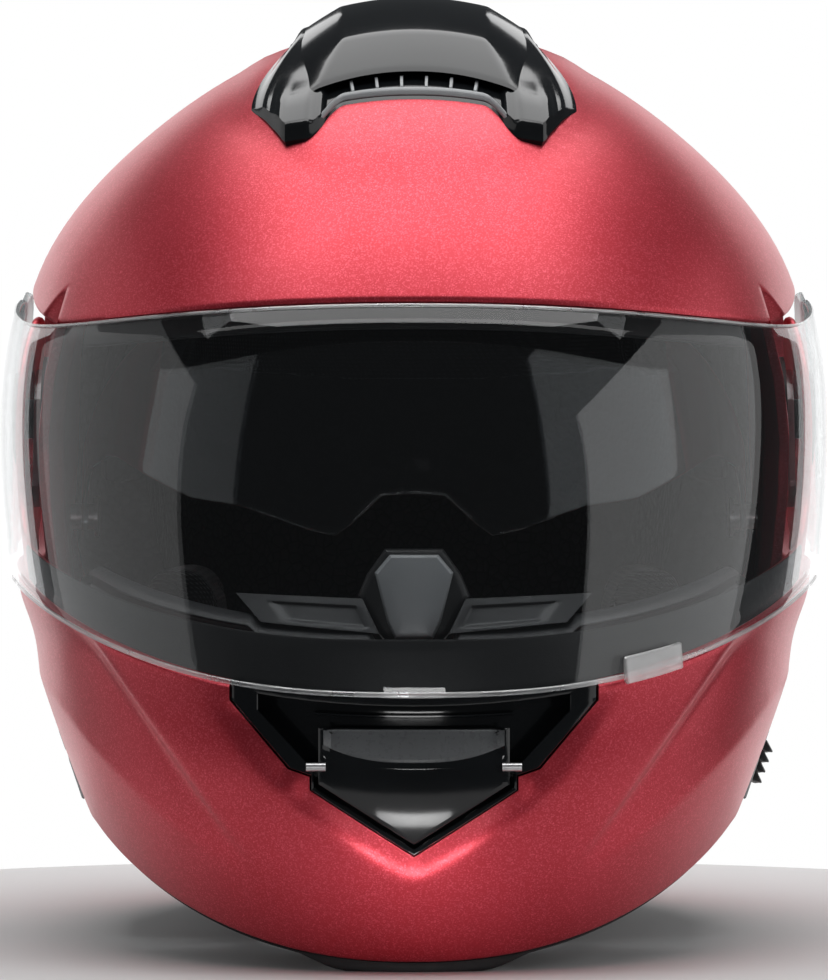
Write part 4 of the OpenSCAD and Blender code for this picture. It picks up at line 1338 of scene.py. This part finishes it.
def foam_parts():
    half = np.concatenate([
        np.arange(0, 50, 4.0), np.arange(50, 62, 1.0), np.arange(62, 110, 3.0),
        np.arange(110, 134, 1.5), np.arange(136, 180, 4.0), [180],
    ])
    around = np.concatenate([half, 360 - half[-2:0:-1]])
    foam_bowl(
        "foam_impact_liner", around, liner_low, 86, liner_out, -CAVITY_DEPTH, FOAM, "shell",
        ("impact_liner",),
    )
    low, high = constant(-38.0), constant(-28.5)
    loops = wrapped(np.linspace(-38, 38, 39), low, high, -14.5, -20.5, rows=8, edge=0.7)
    tube_piece("chin_foam", loops, FOAM, "chin_bar", ("chin_liner",))
    low, high = constant(-40.0), constant(-23.0)
    loops = wrapped(np.linspace(67, 97, 21), low, high, -18.5, -27, rows=8, edge=0.6)
    for side, word in ((1, "left"), (-1, "right")):
        name = f"cheek_foam_{word}"
        tube_piece(name, loops * [side, 1, 1], FOAM, "shell", (f"cheek_block_{word}",))


PAD_VOXEL = 4.5
PAD_SHRINK = 2.6
PAD_PRESSURE, PAD_STIFFNESS, PAD_FRAMES = 4, 20, 20


def puffed(piece, cap):
    """Inflate a closed pad with cloth pressure, hold each point near its start, and smooth it."""
    scene = bpy.context.scene
    remesh = piece.modifiers.new("remesh", "REMESH")
    remesh.mode, remesh.voxel_size = "VOXEL", PAD_VOXEL * MM
    apply_modifiers(piece)
    start = np.array([v.co for v in piece.data.vertices])
    cloth = piece.modifiers.new("cloth", "CLOTH")
    cloth.settings.quality = 5
    cloth.settings.use_pressure = True
    cloth.settings.uniform_pressure_force = PAD_PRESSURE
    cloth.settings.tension_stiffness = PAD_STIFFNESS
    cloth.settings.compression_stiffness = PAD_STIFFNESS
    cloth.settings.effector_weights.gravity = 0
    cloth.point_cache.frame_end = PAD_FRAMES
    for step in range(1, PAD_FRAMES + 1):
        scene.frame_set(step)
    graph = bpy.context.evaluated_depsgraph_get()
    shape = piece.evaluated_get(graph).to_mesh()
    end = np.array([v.co for v in shape.vertices])
    piece.evaluated_get(graph).to_mesh_clear()
    piece.modifiers.clear()
    scene.frame_set(1)
    move = end - start
    length = np.maximum(np.linalg.norm(move, axis=1, keepdims=True), 1e-9)
    end = start + move * np.minimum(1, cap * MM / length)
    piece.data.vertices.foreach_set("co", end.ravel())
    smooth = piece.modifiers.new("smooth", "SUBSURF")
    smooth.levels = smooth.render_levels = 1
    apply_modifiers(piece)


def sewn(piece, distance_to_seam, width=1.6, depth=1.1):
    """Sink the surface along seams. distance_to_seam takes points in millimetres."""
    mesh = piece.data
    points = np.array([v.co for v in mesh.vertices])
    normals = np.array([v.normal for v in mesh.vertices])
    sink = depth * np.exp(-((distance_to_seam(points / MM) / width) ** 2))
    mesh.vertices.foreach_set("co", (points - normals * sink[:, None] * MM).ravel())
    mesh.update()


def finish_pad(piece, seams):
    puffed(piece, PAD_SHRINK + 1.2)
    sewn(piece, seams)
    dress(piece, FABRIC, piece["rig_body"], sharp=80)


def skin_offsets(points):
    """Bearing, elevation and offset from the skin of points in millimetres."""
    centred = points - [0, 0, CENTRE_Z]
    r = np.linalg.norm(centred, axis=1)
    e = np.degrees(np.arcsin(centred[:, 2] / r))
    b = np.degrees(np.arctan2(centred[:, 0], -centred[:, 1]))
    return b, e, r - skin_r(b, e)


def crown_padding():
    around = np.arange(0, 360, 6.0)
    low = lambda t: float(22 - 14 * ramp((t - 40) / 25)) + 1.2
    top = -CAVITY_DEPTH - 1.6 - PAD_SHRINK * 0.5
    inner = -CAVITY_DEPTH - 9 + PAD_SHRINK * 0.5
    outer = lambda t, e: top
    piece = foam_bowl(
        "crown_padding", around, low, 86, outer, inner, FABRIC, "shell", ("crown_pad",)
    )

    def seams(points):
        _, e, _ = skin_offsets(points)
        across = np.abs(np.abs(points[:, 0]) - 26)
        band = np.abs(e - 34) * 2.2
        return np.minimum(across, band)

    finish_pad(piece, seams)


def neck_padding():
    off_out, off_in = -SHELL_T - 3 - PAD_SHRINK * 0.5, -SHELL_T - 20 + PAD_SHRINK * 0.5
    around, low, high = np.linspace(123, 237, 58), constant(-43.2), constant(-33.8)
    loops = wrapped(around, low, high, off_out, off_in, rows=10, edge=1.2, corners=6)
    piece = tube_piece("neck_padding", loops, FABRIC, "shell", ("neck_roll",))

    def seams(points):
        b, _, off = skin_offsets(points)
        return np.minimum(np.abs(np.abs(np.abs(b) - 180) - 26) * 2.6, np.abs(off + 8))

    finish_pad(piece, seams)


def cheek_padding():
    corners = np.array([(-70.0, 58.0), (-62, 104), (14, 104), (14, 58)])
    stations = [
        (58, -5), (59, -4.2), (61.5, -1.6), (64, 0), (68, 0.2), (72, 0.1), (75, 0), (77, -3.5),
        (79, -7.5),
    ]
    turn = np.linspace(0, 2 * math.pi, 72, endpoint=False)
    for side, word in ((1, "left"), (-1, "right")):
        rings = []
        for x, grow in stations:
            r = 8 + grow - PAD_SHRINK * 0.6
            ring = []
            for a in turn:
                direction = np.array([math.cos(a), math.sin(a)])
                best = corners[np.argmax(corners @ direction)]
                ring.append(best + direction * r)
            ring = resampled_loop(np.asarray(ring), 96)
            rings.append(np.column_stack([np.full(len(ring), side * x), ring]))
        piece = rings_piece(f"cheek_padding_{word}", rings, FABRIC, "shell", (f"cheek_pad_{word}",))

        def seams(points):
            outline = resampled_loop(rings[3][:, 1:], 60)
            centre = outline.mean(0)
            inset = centre + (outline - centre) * 0.8
            return outline_distance(points[:, 1:], inset)

        finish_pad(piece, seams)


def resampled_loop(points, count):
    """A closed line of points, spaced evenly."""
    closed = np.vstack([points, points[:1]])
    length = np.concatenate([[0], np.cumsum(np.linalg.norm(np.diff(closed, axis=0), axis=1))])
    stations = np.linspace(0, length[-1], count, endpoint=False)
    return np.column_stack([np.interp(stations, length, column) for column in closed.T])


def chin_curtain():
    """The wind curtain: a thin fabric sheet between the chin bar's edge and the throat."""
    thickness = 1.1
    b = np.linspace(-40, 40, 81)
    start = -8 - 16 * ramp((11 - np.abs(b)) / 4)
    edge = skin(b, -45.0, start)
    middle = skin(b, -49.5, -26.0)
    inner = skin(b, -54.0, -38.0)
    t = np.linspace(0, 1, 19)[:, None, None]
    line = edge * (1 - t) ** 2 + (2 * middle - (edge + inner) / 2) * 2 * t * (1 - t) + inner * t**2
    ripple = 0.35 * np.sin(np.radians(b) * 26)[None, :, None] * t * np.array([0, 0, 1.0])
    line = line + ripple + [0, 0, 0.35]
    over = line + [0, 0, thickness]
    piece = solid_between(
        "wind_curtain", over, line, CURTAIN, "chin_bar", ("chin_curtain",), sharp=80
    )


# Chin strap ----------------------------------------------------------------------------------
STRAP_Y, STRAP_W, STRAP_T, STRAP_X = -34.0, 22.0, 1.6, 80.6
STRAP_TOP, STRAP_LOW, STRAP_BEND = 70.0, 14.0, 28.0


def strap(side, to_x, node):
    """Webbing that drops inside the shell, bends under the cheek pad and runs to the buckle."""
    turn = np.radians(np.linspace(0, 90, 25))
    drop = np.linspace(STRAP_TOP, STRAP_LOW + STRAP_BEND, 12)[:-1]
    run = np.linspace(STRAP_X - STRAP_BEND, to_x, 22)[1:]
    line = [(STRAP_X, z, 1, 0) for z in drop]
    for a in turn:
        x = STRAP_X - STRAP_BEND + STRAP_BEND * math.cos(a)
        z = STRAP_LOW + STRAP_BEND - STRAP_BEND * math.sin(a)
        line.append((x, z, math.cos(a), -math.sin(a)))
    line += [(x, STRAP_LOW, 0, -1) for x in run]
    half = STRAP_W / 2
    edge = [(0.0, 0.5), (0.25, 0.85), (1.6, 1.0), (2.2, 0.9), (2.8, 1.0)]
    over = [(-half + inset, depth) for inset, depth in edge] + [(0, 1.0)]
    over += [(half - inset, depth) for inset, depth in edge[::-1]]
    section = over + [(wide, 1 - depth) for wide, depth in over[-2:0:-1]]
    rings = [
        [
            [side * (x + nx * STRAP_T * depth), STRAP_Y + wide, z + nz * STRAP_T * depth]
            for wide, depth in section
        ]
        for x, z, nx, nz in line
    ]
    word = "left" if side > 0 else "right"
    rings_piece(f"chin_strap_{word}", rings, WEBBING, "shell", (node,), sharp=60)


# CAD pieces that keep their exact shape ------------------------------------------------------
KEPT = (
    (SATIN, ("pivot_plate_left", "pivot_plate_right", "ratchet_tongue", "release_housing")),
    (RED, ("buckle_lever", "release_button")),
    (GREY, ("shield_hub_left", "shield_hub_right")),
    (STEEL, (
        "pivot_screws", "sun_visor_pivots", "strap_rivets", "buckle_base", "latch_strikers",
        "hinge_arm_left", "hinge_arm_right", "hinge_rivets", "chin_vent_pins", "latch_hook_left",
        "latch_hook_right", "latch_pins",
    )),
)


def dress_kept():
    for finish, names in KEPT:
        for name in names:
            node = frame["nodes"][name]
            if not node.material_slots:
                node.data.materials.append(finish.material)
            for place in node.material_slots:
                place.material = finish.material


for make in (
    set_camera, set_light, set_floor, painted_shell, painted_chin_bar, flange_cover, chin_vent,
    chin_vent_door, door_insert, vent_grille, clear_shield, lifting_tab, shield_rims, smoke_visor,
    top_vent_base, intake, top_vent_slider, rear_exhaust, brow_gasket, trims, side_covers, lever,
    inner_rim, breath_guard, foam_parts, crown_padding, neck_padding, cheek_padding, chin_curtain,
):
    make()
strap(1, 16.0, "strap_left")
strap(-1, 38.0, "strap_right")
dress_kept()
